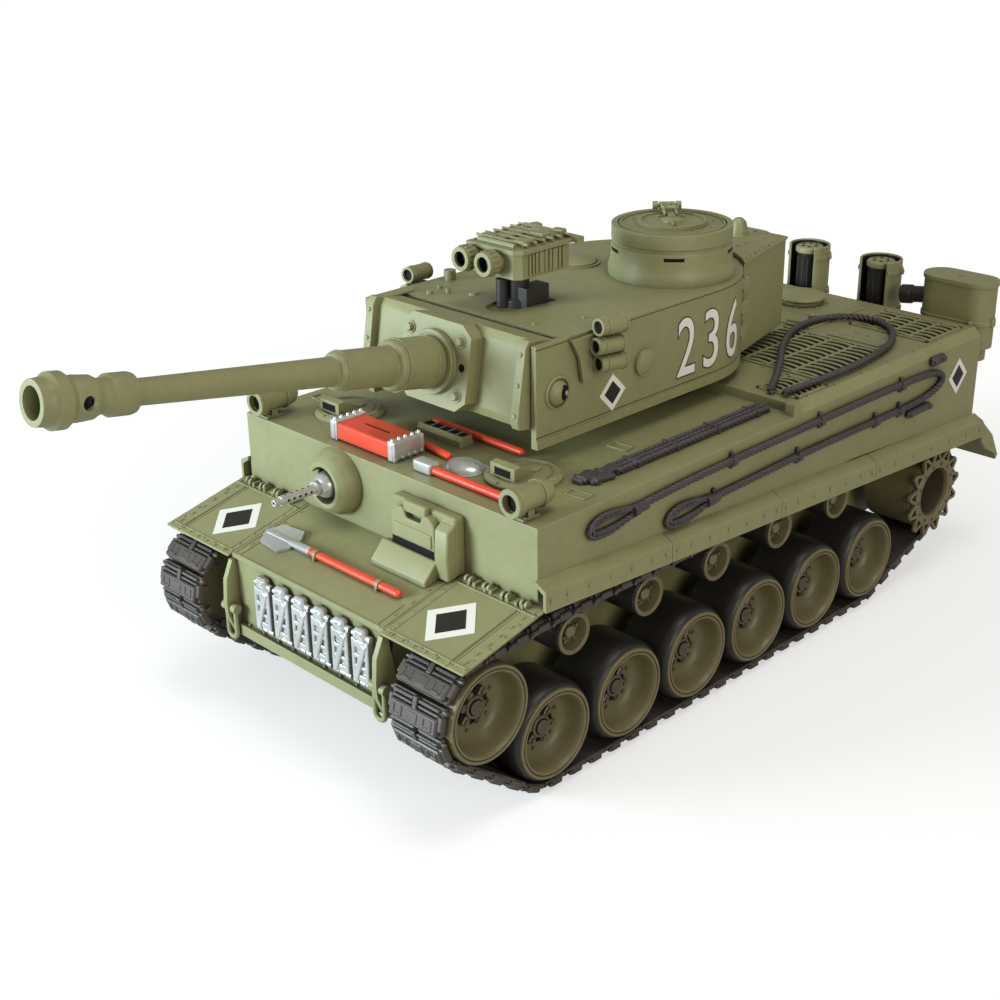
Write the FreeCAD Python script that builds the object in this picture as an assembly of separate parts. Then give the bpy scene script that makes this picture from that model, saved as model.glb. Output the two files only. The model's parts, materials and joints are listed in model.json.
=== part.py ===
"""Radio-controlled heavy tank, about 1:20: a moulded hull on two track belts, with a turning turret.

Millimetres, +Z up. The front looks along -Y and the tank's left side along +X. The model is drawn
about the middle of its running gear, and save() moves it so that the origin is the middle of its own
box on the ground.
"""
import FreeCAD, Part
import math
import os

V = FreeCAD.Vector
os.makedirs("parts", exist_ok=True)

# ---- driving dimensions ----
SHIFT_Y = 26.2          # from the drawing's origin to the middle of the whole length
WALL = 2.0              # moulded wall
HULL_HALF = 80.0        # half width of the superstructure
HULL_FRONT = -112.0     # outer face of the front plate
HULL_REAR = 169.0       # outer face of the rear plate
FLOOR_Z = 74.0          # underside of the superstructure, over the tracks
ROOF_Z = 104.0          # fighting compartment roof
DECK_Z = 108.0          # engine deck, one step higher
DECK_START = 32.5       # where the engine deck's step stands
TUB_HALF = 48.0         # half width of the lower hull
NOSE_HALF = 42.0        # half width of the lower hull's nose
BELLY_Z = 20.0          # ground clearance
NOSE_Y = -149.0         # front edge of the glacis
GLACIS_TOP = 76.0       # glacis height at the front plate
GLACIS_DROP = 8.5       # and its drop to the front edge
SKIRT_HALF = 85.0       # outer face of the side skirts

WHEEL_COUNT = 6
WHEEL_FIRST_Y = -105.5
WHEEL_PITCH = 38.8
WHEEL_Z = 24.0
TYRE_R = 19.2
LIP_R = 17.2            # rim lip, inside the tyre
WHEEL_FACE = 82.5       # outer face of the rims
WHEEL_BACK = 60.5
IDLER_Y, IDLER_Z, IDLER_R = -137.0, 45.5, 17.8
SPROCKET_Y, SPROCKET_Z = 137.0, 40.0
DRUM_R, TOOTH_ROOT_R, TOOTH_TIP_R, TOOTH_COUNT = 17.0, 15.5, 20.5, 13
ROLLER_COUNT = 5
ROLLER_FIRST_Y = -93.0
ROLLER_PITCH = 39.7
ROLLER_Z = 57.5
ROLLER_R = 8.0
AXLE_R = 1.5
RUNNING_GAP = 0.05      # radial clearance of a wheel on its axle
BELT_IN, BELT_OUT = 55.0, 81.0      # track edges
BELT_GAP = 0.3          # track to wheel
BELT_BAND, BELT_PAD = 2.0, 2.5      # thickness of the band and of the pads on it
LINK_PITCH = 10.5

RING_Y = 20.0           # turret ring axis
RING_R = 32.8
TURRET_HALF = 45.5
TURRET_FLOOR, TURRET_ROOF = 112.0, 150.0
TURRET_ARC_Y = 24.0     # centre of the round back
TURRET_FRONT = -62.5    # front plate behind the mantlet
CHEEK_FRONT = -77.0
TRUNNION = V(0, -50, 131)
GUN_ELEVATION = 9.3     # degrees, as stored
CUPOLA = V(16.5, 30, 0)
CUPOLA_R = 24.0
CUPOLA_TOP = 170.0
SIGHT = V(2.0, -42, 0)

# ---- helpers ----
PARTS = {}


def box(x0, x1, y0, y1, z0, z1):
    """A box between two values on each axis."""
    return Part.makeBox(x1 - x0, y1 - y0, z1 - z0, V(x0, y0, z0))


def rod(start, end, radius):
    """A round rod between two points."""
    start, end = V(*start), V(*end)
    return Part.makeCylinder(radius, (end - start).Length, start, end - start)


def prism_x(points_yz, x0, x1):
    """An outline of (y, z) points, extruded along X."""
    wire = Part.makePolygon([V(x0, y, z) for y, z in points_yz + points_yz[:1]])
    return Part.Face(wire).extrude(V(x1 - x0, 0, 0))


def prism_y(points_xz, y0, y1):
    """An outline of (x, z) points, extruded along Y."""
    wire = Part.makePolygon([V(x, y0, z) for x, z in points_xz + points_xz[:1]])
    return Part.Face(wire).extrude(V(0, y1 - y0, 0))


def prism_z(points_xy, z0, z1):
    """An outline of (x, y) points, extruded along Z."""
    wire = Part.makePolygon([V(x, y, z0) for x, y in points_xy + points_xy[:1]])
    return Part.Face(wire).extrude(V(0, 0, z1 - z0))


def turned(profile, centre, axis, start):
    """Turns a closed (radius, along) outline about an axis; start is the direction of its radii."""
    points = [centre + start * radius + axis * along for radius, along in profile]
    return Part.Face(Part.makePolygon(points + points[:1])).revolve(centre, axis, 360)


def turned_x(profile, y, z):
    return turned(profile, V(0, y, z), V(1, 0, 0), V(0, 0, 1))


def turned_z(profile, x, y):
    return turned(profile, V(x, y, 0), V(0, 0, 1), V(1, 0, 0))


def joined(shapes):
    """One solid of several that touch."""
    shapes = list(shapes)
    whole = shapes[0].multiFuse(shapes[1:]) if len(shapes) > 1 else shapes[0]
    return whole.removeSplitter()


def cut(shape, tools):
    return shape.cut(Part.makeCompound(list(tools)))


def mirrored(shape):
    return shape.mirror(V(0, 0, 0), V(1, 0, 0))


def both_sides(shapes):
    """The shapes, and their mirror images on the right side."""
    shapes = list(shapes)
    return shapes + [mirrored(shape) for shape in shapes]


def elevated(shape):
    """Raises a gun piece, drawn level, to its stored elevation."""
    return shape.rotated(TRUNNION, V(1, 0, 0), -GUN_ELEVATION)


def save(name, shapes):
    """Keeps a node: one solid, or a group of separate ones."""
    shapes = shapes if isinstance(shapes, list) else [shapes]
    solids = [solid for shape in shapes for solid in shape.Solids]
    node = solids[0] if len(solids) == 1 else Part.makeCompound(solids)
    PARTS[name] = node.translated(V(0, SHIFT_Y, 0))


def cable(points, radius, bend):
    """A moulded cable: straight runs joined by tangent arcs of one radius where they have room."""
    points = [V(*point) for point in points]
    edges, here = [], points[0]
    for before, corner, after in zip(points, points[1:], points[2:]):
        back, ahead = (before - corner), (after - corner)
        room = min(back.Length, ahead.Length) * 0.45
        half = back.getAngle(ahead) / 2
        reach = min(bend / math.tan(half), room)
        back.normalize()
        ahead.normalize()
        first, last = corner + back * reach, corner + ahead * reach
        inward = (back + ahead).normalize()
        arc_r = reach * math.tan(half)
        middle = corner + inward * (arc_r / math.sin(half) - arc_r)
        edges.append(Part.LineSegment(here, first).toShape())
        edges.append(Part.Arc(first, middle, last).toShape())
        here = last
    edges.append(Part.LineSegment(here, points[-1]).toShape())
    path = Part.Wire(edges)
    ring = Part.Wire(Part.makeCircle(radius, points[0], points[1] - points[0]))
    return path.makePipeShell([ring], True, False)


# ---- running gear ----
def tangent(one, two):
    """Outer tangent of two circles (y, z, r) that are run round clockwise: its two points."""
    (y1, z1, r1), (y2, z2, r2) = one, two
    reach = math.hypot(y2 - y1, z2 - z1)
    heading = math.atan2(z2 - z1, y2 - y1)
    side = heading + math.acos((r1 - r2) / reach)
    away = (math.cos(side), math.sin(side))
    return (y1 + r1 * away[0], z1 + r1 * away[1]), (y2 + r2 * away[0], z2 + r2 * away[1])


def belt_circles():
    """The wheels that the belt runs round, as (y, z, radius with clearance)."""
    last_wheel = WHEEL_FIRST_Y + (WHEEL_COUNT - 1) * WHEEL_PITCH
    last_roller = ROLLER_FIRST_Y + (ROLLER_COUNT - 1) * ROLLER_PITCH
    gap = BELT_GAP
    return [
        (IDLER_Y, IDLER_Z, IDLER_R + gap),
        (ROLLER_FIRST_Y, ROLLER_Z, ROLLER_R + gap),
        (last_roller, ROLLER_Z, ROLLER_R + gap),
        (SPROCKET_Y, SPROCKET_Z, DRUM_R + gap),
        (last_wheel, WHEEL_Z, TYRE_R + gap),
        (WHEEL_FIRST_Y, WHEEL_Z, TYRE_R + gap),
    ]


def belt_path(offset):
    """The belt's line at a distance outside the wheels: a list of (length, point at distance) pieces."""
    circles = [(y, z, r + offset) for y, z, r in belt_circles()]
    runs = [tangent(a, b) for a, b in zip(circles, circles[1:] + circles[:1])]
    pieces = []
    for index, (y, z, r) in enumerate(circles):
        arrive, leave = runs[index - 1][1], runs[index][0]
        start = math.atan2(arrive[1] - z, arrive[0] - y)
        sweep = (start - math.atan2(leave[1] - z, leave[0] - y)) % (2 * math.pi)
        pieces.append(("arc", y, z, r, start, sweep))
        pieces.append(("line", leave, runs[index][1]))
    return pieces


def belt_outline(offset):
    """The belt's closed line as a wire."""
    edges = []
    for piece in belt_path(offset):
        if piece[0] == "arc":
            _, y, z, r, start, sweep = piece
            at = [V(0, y + r * math.cos(start - sweep * t), z + r * math.sin(start - sweep * t))
                  for t in (0, 0.5, 1)]
            edges.append(Part.Arc(*at).toShape())
        else:
            edges.append(Part.LineSegment(V(0, *piece[1]), V(0, *piece[2])).toShape())
    return Part.Wire(Part.__sortEdges__(edges))


def belt_points(offset, count):
    """Evenly spaced (y, z, outward angle) along the belt."""
    pieces = belt_path(offset)
    lengths = [p[3] * p[5] if p[0] == "arc" else math.dist(p[1], p[2]) for p in pieces]
    total, stations = sum(lengths), []
    for index in range(count):
        left = total * index / count
        for piece, length in zip(pieces, lengths):
            if left <= length:
                break
            left -= length
        if piece[0] == "arc":
            _, y, z, r, start, sweep = piece
            angle = start - sweep * left / length
            stations.append((y + r * math.cos(angle), z + r * math.sin(angle), angle))
        else:
            (y1, z1), (y2, z2) = piece[1:]
            t = left / length
            outward = math.atan2(y1 - y2, z2 - z1) + math.pi
            stations.append((y1 + (y2 - y1) * t, z1 + (z2 - z1) * t, outward))
    return stations


def track_belt():
    """A rubber belt: a smooth band with one raised pad for each link."""
    outer, inner = Part.Face(belt_outline(BELT_BAND)), Part.Face(belt_outline(0))
    band = outer.cut(inner).extrude(V(BELT_OUT - BELT_IN, 0, 0)).translated(V(BELT_IN, 0, 0))
    length = belt_outline(BELT_BAND).Length
    count = round(length / LINK_PITCH)
    pads = []
    for y, z, outward in belt_points(BELT_BAND, count):
        pad = box(BELT_IN, BELT_OUT, -0.4, BELT_PAD, -0.42 * LINK_PITCH, 0.42 * LINK_PITCH)
        pad.rotate(V(0, 0, 0), V(1, 0, 0), math.degrees(outward))
        pads.append(pad.translated(V(0, y, z)))
    above_ground = box(BELT_IN, BELT_OUT, -250, 250, 0, 100)
    return joined([band] + pads).common(above_ground)


def wheel_bolts(y, z, ring_r, x0, x1, count, bolt_r):
    """Bolts in a ring about the axle."""
    for index in range(count):
        angle = 2 * math.pi * index / count
        by, bz = y + ring_r * math.cos(angle), z + ring_r * math.sin(angle)
        yield rod((x0, by, bz), (x1, by, bz), bolt_r)


def dished_rim(y, z, lip_r):
    """Deep dished wheel turned round its axle, with a bolted hub."""
    bore = AXLE_R + RUNNING_GAP
    face, back = WHEEL_FACE, WHEEL_BACK
    profile = [(bore, back + 1), (lip_r, back + 1), (lip_r, face), (lip_r - 1.6, face),
               (lip_r - 2.2, face - 1.2), (lip_r - 3.4, face - 8.5), (7.0, face - 10), (5.2, face - 6.5),
               (3.4, face - 6.5), (3.4, face - 8), (bore, face - 8)]
    rim = turned_x(profile, y, z)
    return joined([rim] + list(wheel_bolts(y, z, 9.2, face - 10.5, face - 8.2, 6, 1.0)))


def road_wheel(y):
    """Rim, and the tyre pressed on to it."""
    edge = 1.2
    tyre = turned_x([(LIP_R, WHEEL_BACK), (TYRE_R - edge, WHEEL_BACK), (TYRE_R, WHEEL_BACK + edge),
                     (TYRE_R, WHEEL_FACE - 0.6 - edge), (TYRE_R - edge, WHEEL_FACE - 0.6),
                     (LIP_R, WHEEL_FACE - 0.6)], y, WHEEL_Z)
    return [dished_rim(y, WHEEL_Z, LIP_R), tyre]


def sprocket():
    """Drum with an outer ring of pointed teeth, each with a three-cornered window, on its drive shaft."""
    y, z = SPROCKET_Y, SPROCKET_Z
    drum = turned_x([(2.0, 58), (DRUM_R, 58), (DRUM_R, 81), (15, 81), (15, 83), (8, 83), (8, 70),
                     (4, 70), (4, 76), (2.0, 76)], y, z)
    step = 2 * math.pi / TOOTH_COUNT
    outline = []
    for index in range(TOOTH_COUNT):
        for part, radius in ((-0.5, TOOTH_ROOT_R), (-0.12, TOOTH_TIP_R), (0.12, TOOTH_TIP_R)):
            angle = (index + part) * step
            outline.append((y + radius * math.cos(angle), z + radius * math.sin(angle)))
    ring = prism_x(outline, 81.3, 83.1)
    windows = []
    for index in range(TOOTH_COUNT):
        corners = [((index - 0.22) * step, 14.8), ((index + 0.22) * step, 14.8), (index * step, 18.0)]
        windows.append(prism_x([(y + r * math.cos(a), z + r * math.sin(a)) for a, r in corners], 80, 84))
    ring = cut(ring, windows + [rod((80, y, z), (84, y, z), 10.5)])
    shaft = rod((44, y, z), (77, y, z), 2.0)
    face = turned_x([(8, 80.9), (12.5, 80.9), (12.5, 83.1), (8, 83.1)], y, z)
    return joined([drum, ring, face, shaft])


def return_rollers(y):
    """Left and right roller on one through axle."""
    profile = [(AXLE_R, 62), (ROLLER_R, 62), (ROLLER_R, 79), (ROLLER_R - 1, 79.4), (ROLLER_R - 2.2, 78),
               (ROLLER_R - 2.6, 75), (3.2, 75), (2.6, 78), (AXLE_R, 78)]
    left = turned_x(profile, y, ROLLER_Z)
    axle = rod((-78, y, ROLLER_Z), (78, y, ROLLER_Z), AXLE_R)
    return joined([left, mirrored(left), axle])


wheel_ys = [WHEEL_FIRST_Y + i * WHEEL_PITCH for i in range(WHEEL_COUNT)]
roller_ys = [ROLLER_FIRST_Y + i * ROLLER_PITCH for i in range(ROLLER_COUNT)]
for number, wheel_y in enumerate(wheel_ys, 1):
    left_wheel = road_wheel(wheel_y)
    save("road_wheel_left_%d" % number, left_wheel)
    save("road_wheel_right_%d" % number, [mirrored(solid) for solid in left_wheel])
idler = dished_rim(IDLER_Y, IDLER_Z, IDLER_R)
save("idler_wheel_left", idler)
save("idler_wheel_right", mirrored(idler))
sprocket_left = sprocket()
save("sprocket_left", sprocket_left)
save("sprocket_right", mirrored(sprocket_left))
for number, roller_y in enumerate(roller_ys, 1):
    save("return_rollers_%d" % number, return_rollers(roller_y))
belt = track_belt()
save("track_left", belt)
save("track_right", mirrored(belt))

stub_places = [(y, WHEEL_Z, TUB_HALF) for y in wheel_ys] + [(IDLER_Y, IDLER_Z, NOSE_HALF)]
axle_head = (2.6, 1.2)      # radius and height of the cap that keeps a wheel on
stubs = []
for y, z, half in stub_places:
    cap_x = WHEEL_FACE - 8 + 0.2
    stubs.append(joined([rod((half - 4, y, z), (cap_x, y, z), AXLE_R),
                         rod((cap_x, y, z), (cap_x + axle_head[1], y, z), axle_head[0])]))
save("axles", both_sides(stubs))

# ---- lower hull ----
TUB_OUTLINE = [(-112, FLOOR_Z), (-143, 66.6), (-146, 40), (-127, BELLY_Z), (150, BELLY_Z), (166.8, 40),
               (166.8, FLOOR_Z)]
TUB_INSIDE = [(-112, FLOOR_Z + 5), (-141, FLOOR_Z + 5), (-143.8, 41), (-126, BELLY_Z + WALL),
              (149, BELLY_Z + WALL), (164.8, 41), (164.8, FLOOR_Z + 5)]
BATTERY_BAY = (-22, 22, -30, 45)
SWITCH = V(-1.8, -70, BELLY_Z)      # slider in its off position
GEARBOX_SCREWS = [(12, 112), (38, 112), (12, 150 - 6), (38, 150 - 6)]


def lower_hull():
    """Tub with bosses for the axles, ledges for the circuit board and an open battery bay."""
    nose_end = -121.0
    wide = prism_x(TUB_OUTLINE, -TUB_HALF, TUB_HALF).common(box(-60, 60, nose_end, 200, 0, 90))
    nose = prism_x(TUB_OUTLINE, -NOSE_HALF, NOSE_HALF).common(box(-60, 60, -200, nose_end, 0, 90))
    inner_half = TUB_HALF - WALL
    wide_in = prism_x(TUB_INSIDE, -inner_half, inner_half).common(box(-60, 60, nose_end + WALL, 200, 0,
                                                                      90))
    nose_in = prism_x(TUB_INSIDE, -NOSE_HALF + WALL, NOSE_HALF - WALL)
    tub = joined([wide, nose]).cut(joined([wide_in, nose_in]))
    bosses = []
    for y, z, half in stub_places:
        bosses += both_sides([rod((half - 1, y, z), (WHEEL_BACK - 0.3, y, z), 4)])
    bosses += both_sides([rod((TUB_HALF - 1, SPROCKET_Y, SPROCKET_Z), (57.6, SPROCKET_Y, SPROCKET_Z), 5)])
    bosses += both_sides([rod((TUB_HALF - 1, y, ROLLER_Z), (60, y, ROLLER_Z), 3.5) for y in roller_ys])
    ledges = both_sides([box(41, inner_half + 0.5, -88, -58, 62, 63.6),
                         box(41, inner_half + 0.5, -48, -20, 62, 63.6)])
    body = joined([tub] + bosses + ledges)
    x0, x1, y0, y1 = BATTERY_BAY
    holes = [box(x0, x1, y0, y1, BELLY_Z - 1, BELLY_Z + WALL + 1)]
    holes += [box(-4, 4, SWITCH.y - 2.2, SWITCH.y + 2.2, BELLY_Z - 1, BELLY_Z + WALL + 1)]
    for y, z, half in stub_places:
        holes.append(rod((-70, y, z), (70, y, z), AXLE_R))
    holes += [rod((-70, y, ROLLER_Z), (70, y, ROLLER_Z), AXLE_R + RUNNING_GAP) for y in roller_ys]
    holes.append(rod((-70, SPROCKET_Y, SPROCKET_Z), (70, SPROCKET_Y, SPROCKET_Z), 2.0 + RUNNING_GAP))
    for x, y in GEARBOX_SCREWS:
        holes += both_sides([rod((x, y, BELLY_Z - 1), (x, y, BELLY_Z + 3), 1.2),
                             rod((x, y, BELLY_Z - 1), (x, y, BELLY_Z + 1.2), 2.4)])
    return cut(body, holes)


save("lower_hull", lower_hull())


def battery_cover():
    """Ribbed lid over the battery bay with a tab at each end."""
    x0, x1, y0, y1 = BATTERY_BAY
    gap = 0.2
    plate = box(x0 + gap, x1 - gap, y0 + gap, y1 - gap, BELLY_Z, BELLY_Z + WALL)
    tabs = [box(-6, 6, y0 - 3, y0 + 3, BELLY_Z + WALL, BELLY_Z + WALL + 1.2),
            box(-6, 6, y1 - 3, y1 + 3, BELLY_Z + WALL, BELLY_Z + WALL + 1.2)]
    ribs = [box(x0 + 5, x1 - 5, y, y + 1.2, BELLY_Z - 0.5, BELLY_Z + 0.5) for y in range(-20, 40, 8)]
    return joined([plate] + tabs + ribs)


save("battery_cover", battery_cover())
pack_case = box(-21, 21, -26, 36, 24, 38)
pack_case = pack_case.makeFillet(6.0, [edge for edge in pack_case.Edges if edge.BoundBox.YLength > 50])
save("battery_pack", joined([pack_case, box(-6, 6, 35, 40, 27, 34)]))


def gearbox():
    """Motor and gear case of one side, screwed to the belly; the sprocket's shaft runs into it."""
    case = box(24, 44.5, 104, 148, BELLY_Z + WALL, 56)
    case = case.makeFillet(2.0, [edge for edge in case.Edges if abs(edge.BoundBox.XLength) > 15])
    motor = rod((6, 116, 38), (24.5, 116, 38), 10)
    foot = box(8, 30, 108, 148, BELLY_Z + WALL, BELLY_Z + WALL + 3)
    holes = [rod((43, SPROCKET_Y, SPROCKET_Z), (50, SPROCKET_Y, SPROCKET_Z), 2.0 + RUNNING_GAP),
             rod((44, SPROCKET_Y, SPROCKET_Z), (50, SPROCKET_Y, SPROCKET_Z), 3)]
    holes += [rod((x, y, BELLY_Z), (x, y, BELLY_Z + 9), 1.2) for x, y in GEARBOX_SCREWS]
    return cut(joined([case, motor, foot]), holes)


save("gearboxes", both_sides([gearbox()]))
screws = []
for x, y in GEARBOX_SCREWS:
    screws += both_sides([joined([rod((x, y, BELLY_Z), (x, y, BELLY_Z + 1.2), 2.3),
                                  rod((x, y, BELLY_Z + 1.2), (x, y, BELLY_Z + 8.5), 1.2)])])
save("screws", screws)
board = box(-45.6, 45.6, -86, -22, 63.6, 65.2)
chips = [box(-20, -6, -70, -56, 65.2, 67), box(8, 18, -66, -52, 65.2, 70),
         box(-30, -24, -45, -33, 65.2, 72),
         rod((26, -36, 65.2), (26, -36, 73), 3), rod((34, -44, 65.2), (34, -44, 73), 3)]
save("circuit_board", joined([board] + chips))
slider = joined([box(SWITCH.x - 2, SWITCH.x + 2, SWITCH.y - 2, SWITCH.y + 2, BELLY_Z - 1, BELLY_Z + 2.2),
                 box(SWITCH.x - 5, SWITCH.x + 5, SWITCH.y - 4, SWITCH.y + 4, BELLY_Z + 2.2,
                     BELLY_Z + 3.4)])
save("power_switch", slider)

# ---- upper hull ----
def glacis_z(y, lift=0.0):
    """Height of the sloping front deck at y."""
    return GLACIS_TOP + lift - GLACIS_DROP * (HULL_FRONT - y) / (HULL_FRONT - NOSE_Y)


def upper_hull():
    """Box-shaped superstructure with a higher engine deck, open below over the tub."""
    half, chamfer = HULL_HALF, 3.5
    front = box(-half, half, HULL_FRONT, DECK_START, FLOOR_Z, ROOF_Z)
    rear = prism_y([(-half, FLOOR_Z), (-half, DECK_Z - chamfer), (-half + chamfer, DECK_Z),
                    (half - chamfer, DECK_Z), (half, DECK_Z - chamfer), (half, FLOOR_Z)], DECK_START,
                    HULL_REAR)
    aprons = both_sides([prism_x([(60, FLOOR_Z + 1), (HULL_REAR, FLOOR_Z + 1), (HULL_REAR, 67)],
                                 half - WALL, half)])
    steps = both_sides([box(half - 4.5, half, DECK_START - 3, DECK_START + 2, ROOF_Z - 1, DECK_Z + 1)])
    shell = joined([front, rear] + aprons + steps)
    inner = half - WALL
    rooms = [box(-inner, inner, HULL_FRONT + WALL, HULL_REAR - WALL, FLOOR_Z + WALL, ROOF_Z - WALL),
             box(-inner, inner, DECK_START + WALL, HULL_REAR - WALL, ROOF_Z - WALL - 1,
                 DECK_Z - WALL - 1.5),
             box(-46, 46, HULL_FRONT + WALL, HULL_REAR - WALL - 3, FLOOR_Z - 1, FLOOR_Z + WALL + 1),
             rod((0, RING_Y, ROOF_Z - 6), (0, RING_Y, DECK_Z + 6), RING_R + 0.4)]
    return cut(shell, rooms)


save("upper_hull", upper_hull())


def glacis_plate():
    """Front deck, nose plate with its shelf, and the two curved tow-eye plates."""
    deck = prism_x([(HULL_FRONT, glacis_z(HULL_FRONT)), (NOSE_Y, glacis_z(NOSE_Y)),
                    (NOSE_Y, glacis_z(NOSE_Y) - 1.6), (HULL_FRONT, glacis_z(HULL_FRONT) - 1.6)], -43.4,
                    43.4)
    nose = box(-41.7, 41.7, -148, -146.2, 36, 66.4)
    shelf = prism_x([(-150.5, 35), (-146.2, 33.5), (-146.2, 38.5), (-150.5, 39.5)], -41.7, 41.7)
    eye_plate = prism_x([(-147.5, 65.4), (-150, 65.2), (-153.2, 58), (-154, 48), (-153.6, 43), (-150, 34),
                         (-143, 29), (-134, 27), (-143.5, 42), (-147, 60)], NOSE_HALF + 0.02, 44.2)
    eye_plate = eye_plate.cut(rod((40, -151.6, 46), (46, -151.6, 46), 1.15))
    return joined([deck, nose, shelf] + both_sides([eye_plate]))


save("glacis_plate", glacis_plate())


def front_fender():
    """Left fender: sloping plate with a raised edge strip, rivets and four hinge knuckles."""
    inner, outer = 43.7, 84.0
    front_y = -150.5
    thick = 0.8
    plate = prism_x([(HULL_FRONT - 0.2, glacis_z(HULL_FRONT)), (front_y, glacis_z(front_y)),
                     (front_y, glacis_z(front_y) - thick), (HULL_FRONT - 0.2,
                                                            glacis_z(HULL_FRONT) - thick)],
                    inner, outer)
    hinge_line = -116.0
    groove = prism_x([(hinge_line - 0.25, glacis_z(hinge_line) - 0.5),
                      (hinge_line + 0.25, glacis_z(hinge_line) - 0.5),
                      (hinge_line + 0.25, glacis_z(hinge_line) + 1),
                      (hinge_line - 0.25, glacis_z(hinge_line) + 1)],
                     inner - 1, outer + 1)
    seam_x = outer - 8
    seam = prism_x([(HULL_FRONT, glacis_z(HULL_FRONT) + 0.1), (front_y - 1, glacis_z(front_y - 1) + 0.1),
                    (front_y - 1, glacis_z(front_y - 1) - 0.4), (HULL_FRONT, glacis_z(HULL_FRONT) - 0.4)],
                   seam_x, seam_x + 0.4)
    plate = cut(plate, [groove, seam])
    relief = []
    for x in (52, 60, 68, 75):
        for side in (-1.4, 1.4):
            z = glacis_z(-114.5)
            relief.append(box(x + side - 0.7, x + side + 0.7, -116.2, -112.8, z - 0.6, z + 1.3))
    rivets = [(x, front_y + 2) for x in range(48, 84, 7)]
    rivets += [(outer - 2, y) for y in range(-144, -114, 7)] + [(inner + 2, y) for y in range(-144, -116,
                                                                                              7)]
    relief += [rod((x, y, glacis_z(y) - 0.6), (x, y, glacis_z(y) + 0.35), 0.6) for x, y in rivets]
    return joined([plate] + relief)


fender = front_fender()
save("front_fenders", [fender, mirrored(fender)])


SKIRT_FRONT, SKIRT_REAR = -113.5, 171.5
SKIRT_FRONT_Z, SKIRT_FALL = 85.5, 18.0      # front height of its upper edge, and its fall to the rear


def skirt_top(y):
    """Height of the skirt's upper edge at y."""
    return SKIRT_FRONT_Z - SKIRT_FALL * (y - SKIRT_FRONT) / (SKIRT_REAR - SKIRT_FRONT)


def side_skirts():
    """Four skirt sections a side, each a sloping ledge with a hanging strip, and the rear mudflaps."""
    joints_y = [SKIRT_FRONT + 0.1, -48, 18, 84, SKIRT_REAR - 0.5]
    sections = []
    for y0, y1 in zip(joints_y, joints_y[1:]):
        rings = []
        for y in (y0 + 0.15, y1 - 0.15):
            top = skirt_top(y)
            outline = [(HULL_HALF + 0.02, top), (SKIRT_HALF, top - 2.6), (SKIRT_HALF, top - 10.3),
                       (SKIRT_HALF - 1.3, top - 10.3), (SKIRT_HALF - 1.3, top - 4.0),
                       (HULL_HALF + 0.02, top - 1.6)]
            rings.append(Part.makePolygon([V(x, y, z) for x, z in outline + outline[:1]]))
        section = Part.makeLoft(rings, True, True)
        step = (y1 - y0) / 3
        rivet_ys = [y0 + step * (i + 0.5) for i in range(3)] + [y0 + 3, y1 - 3]
        rivets = [rod((SKIRT_HALF - 0.6, y, skirt_top(y) - 6), (SKIRT_HALF + 0.5, y, skirt_top(y) - 6),
                      0.75)
                  for y in rivet_ys]
        sections.append(joined([section] + rivets))
    flap = prism_x([(169.4, 66), (181, 55.5), (188.2, 43.5), (187, 41.5), (179.6, 53.6), (169.4, 63.4)],
                   56, 84.6)
    gusset = prism_x([(171.3, 64), (181, 55.5), (188.2, 43.5), (176, 50), (171.3, 55)], 83.4, 84.8)
    return sections + [joined([flap, gusset])]


save("side_skirts", both_sides(side_skirts()))


def spare_link(x):
    """Cast link held upright on the nose plate: plate, ribs, pin ends and a clip on top."""
    y = -148.0
    body = box(x - 4.4, x + 4.4, y - 2.2, y, 43, 61)
    relief = [box(x - 1.2, x + 1.2, y - 4.2, y - 2, 45, 59), box(x - 4.4, x + 4.4, y - 3.2, y - 2, 43.6,
                                                                 46),
              box(x - 4.4, x + 4.4, y - 3.2, y - 2, 57.6, 60),
              box(x - 4.4, x + 4.4, y - 3.0, y - 2, 50.6, 52.6),
              rod((x - 4.8, y - 1.6, 43.2), (x + 4.8, y - 1.6, 43.2), 1.3),
              rod((x - 4.8, y - 1.6, 61.2), (x + 4.8, y - 1.6, 61.2), 1.3),
              box(x - 2.4, x + 2.4, y - 3.4, y, 60.5, 64.4)]
    return joined([body] + relief)


save("spare_track_links", [spare_link(-23.2 + 11.2 * i) for i in range(6)])


def driver_visor():
    """Armoured block on the front plate with a visor flap over a slot and a wedge-shaped lip."""
    front = HULL_FRONT
    frame = box(12, 45, front - 4.5, front, GLACIS_TOP - 0.2, 98)
    frame = cut(frame, [prism_y([(15.5, 80.5), (37.5, 80.5), (37.5, 84), (15.5, 84)], front - 6,
                                front - 1.5)])
    flap = prism_y([(15, 84), (38, 84), (38, 93), (34, 96), (30.5, 96), (29.5, 94.6), (23.5, 94.6),
                    (22.5, 96),
                    (19, 96), (15, 93)], front - 7.5, front - 4.4)
    hood = box(22.5, 30.5, front - 8.6, front - 4.4, 94.8, 98.4)
    lip_front = -126.0
    lip = prism_x([(front - 4.4, 80.4), (front - 8, 81.4), (lip_front, glacis_z(lip_front) + 2.5),
                   (lip_front, glacis_z(lip_front) + 0.05), (front - 4.4, glacis_z(front - 4.4) + 0.05)],
                   10.5, 39.5)
    bolts = [rod((x, front - 9.5, 78), (x, front - 9.5, 81.2), 0.7) for x in (14, 21, 28, 35)]
    return joined([frame, flap, hood, lip] + bolts)


save("driver_visor", driver_visor())
MG = V(-23.3, HULL_FRONT, 91.5)
MG_BALL_R = 6.0
MG_BALL_Y = HULL_FRONT - 5.5


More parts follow.
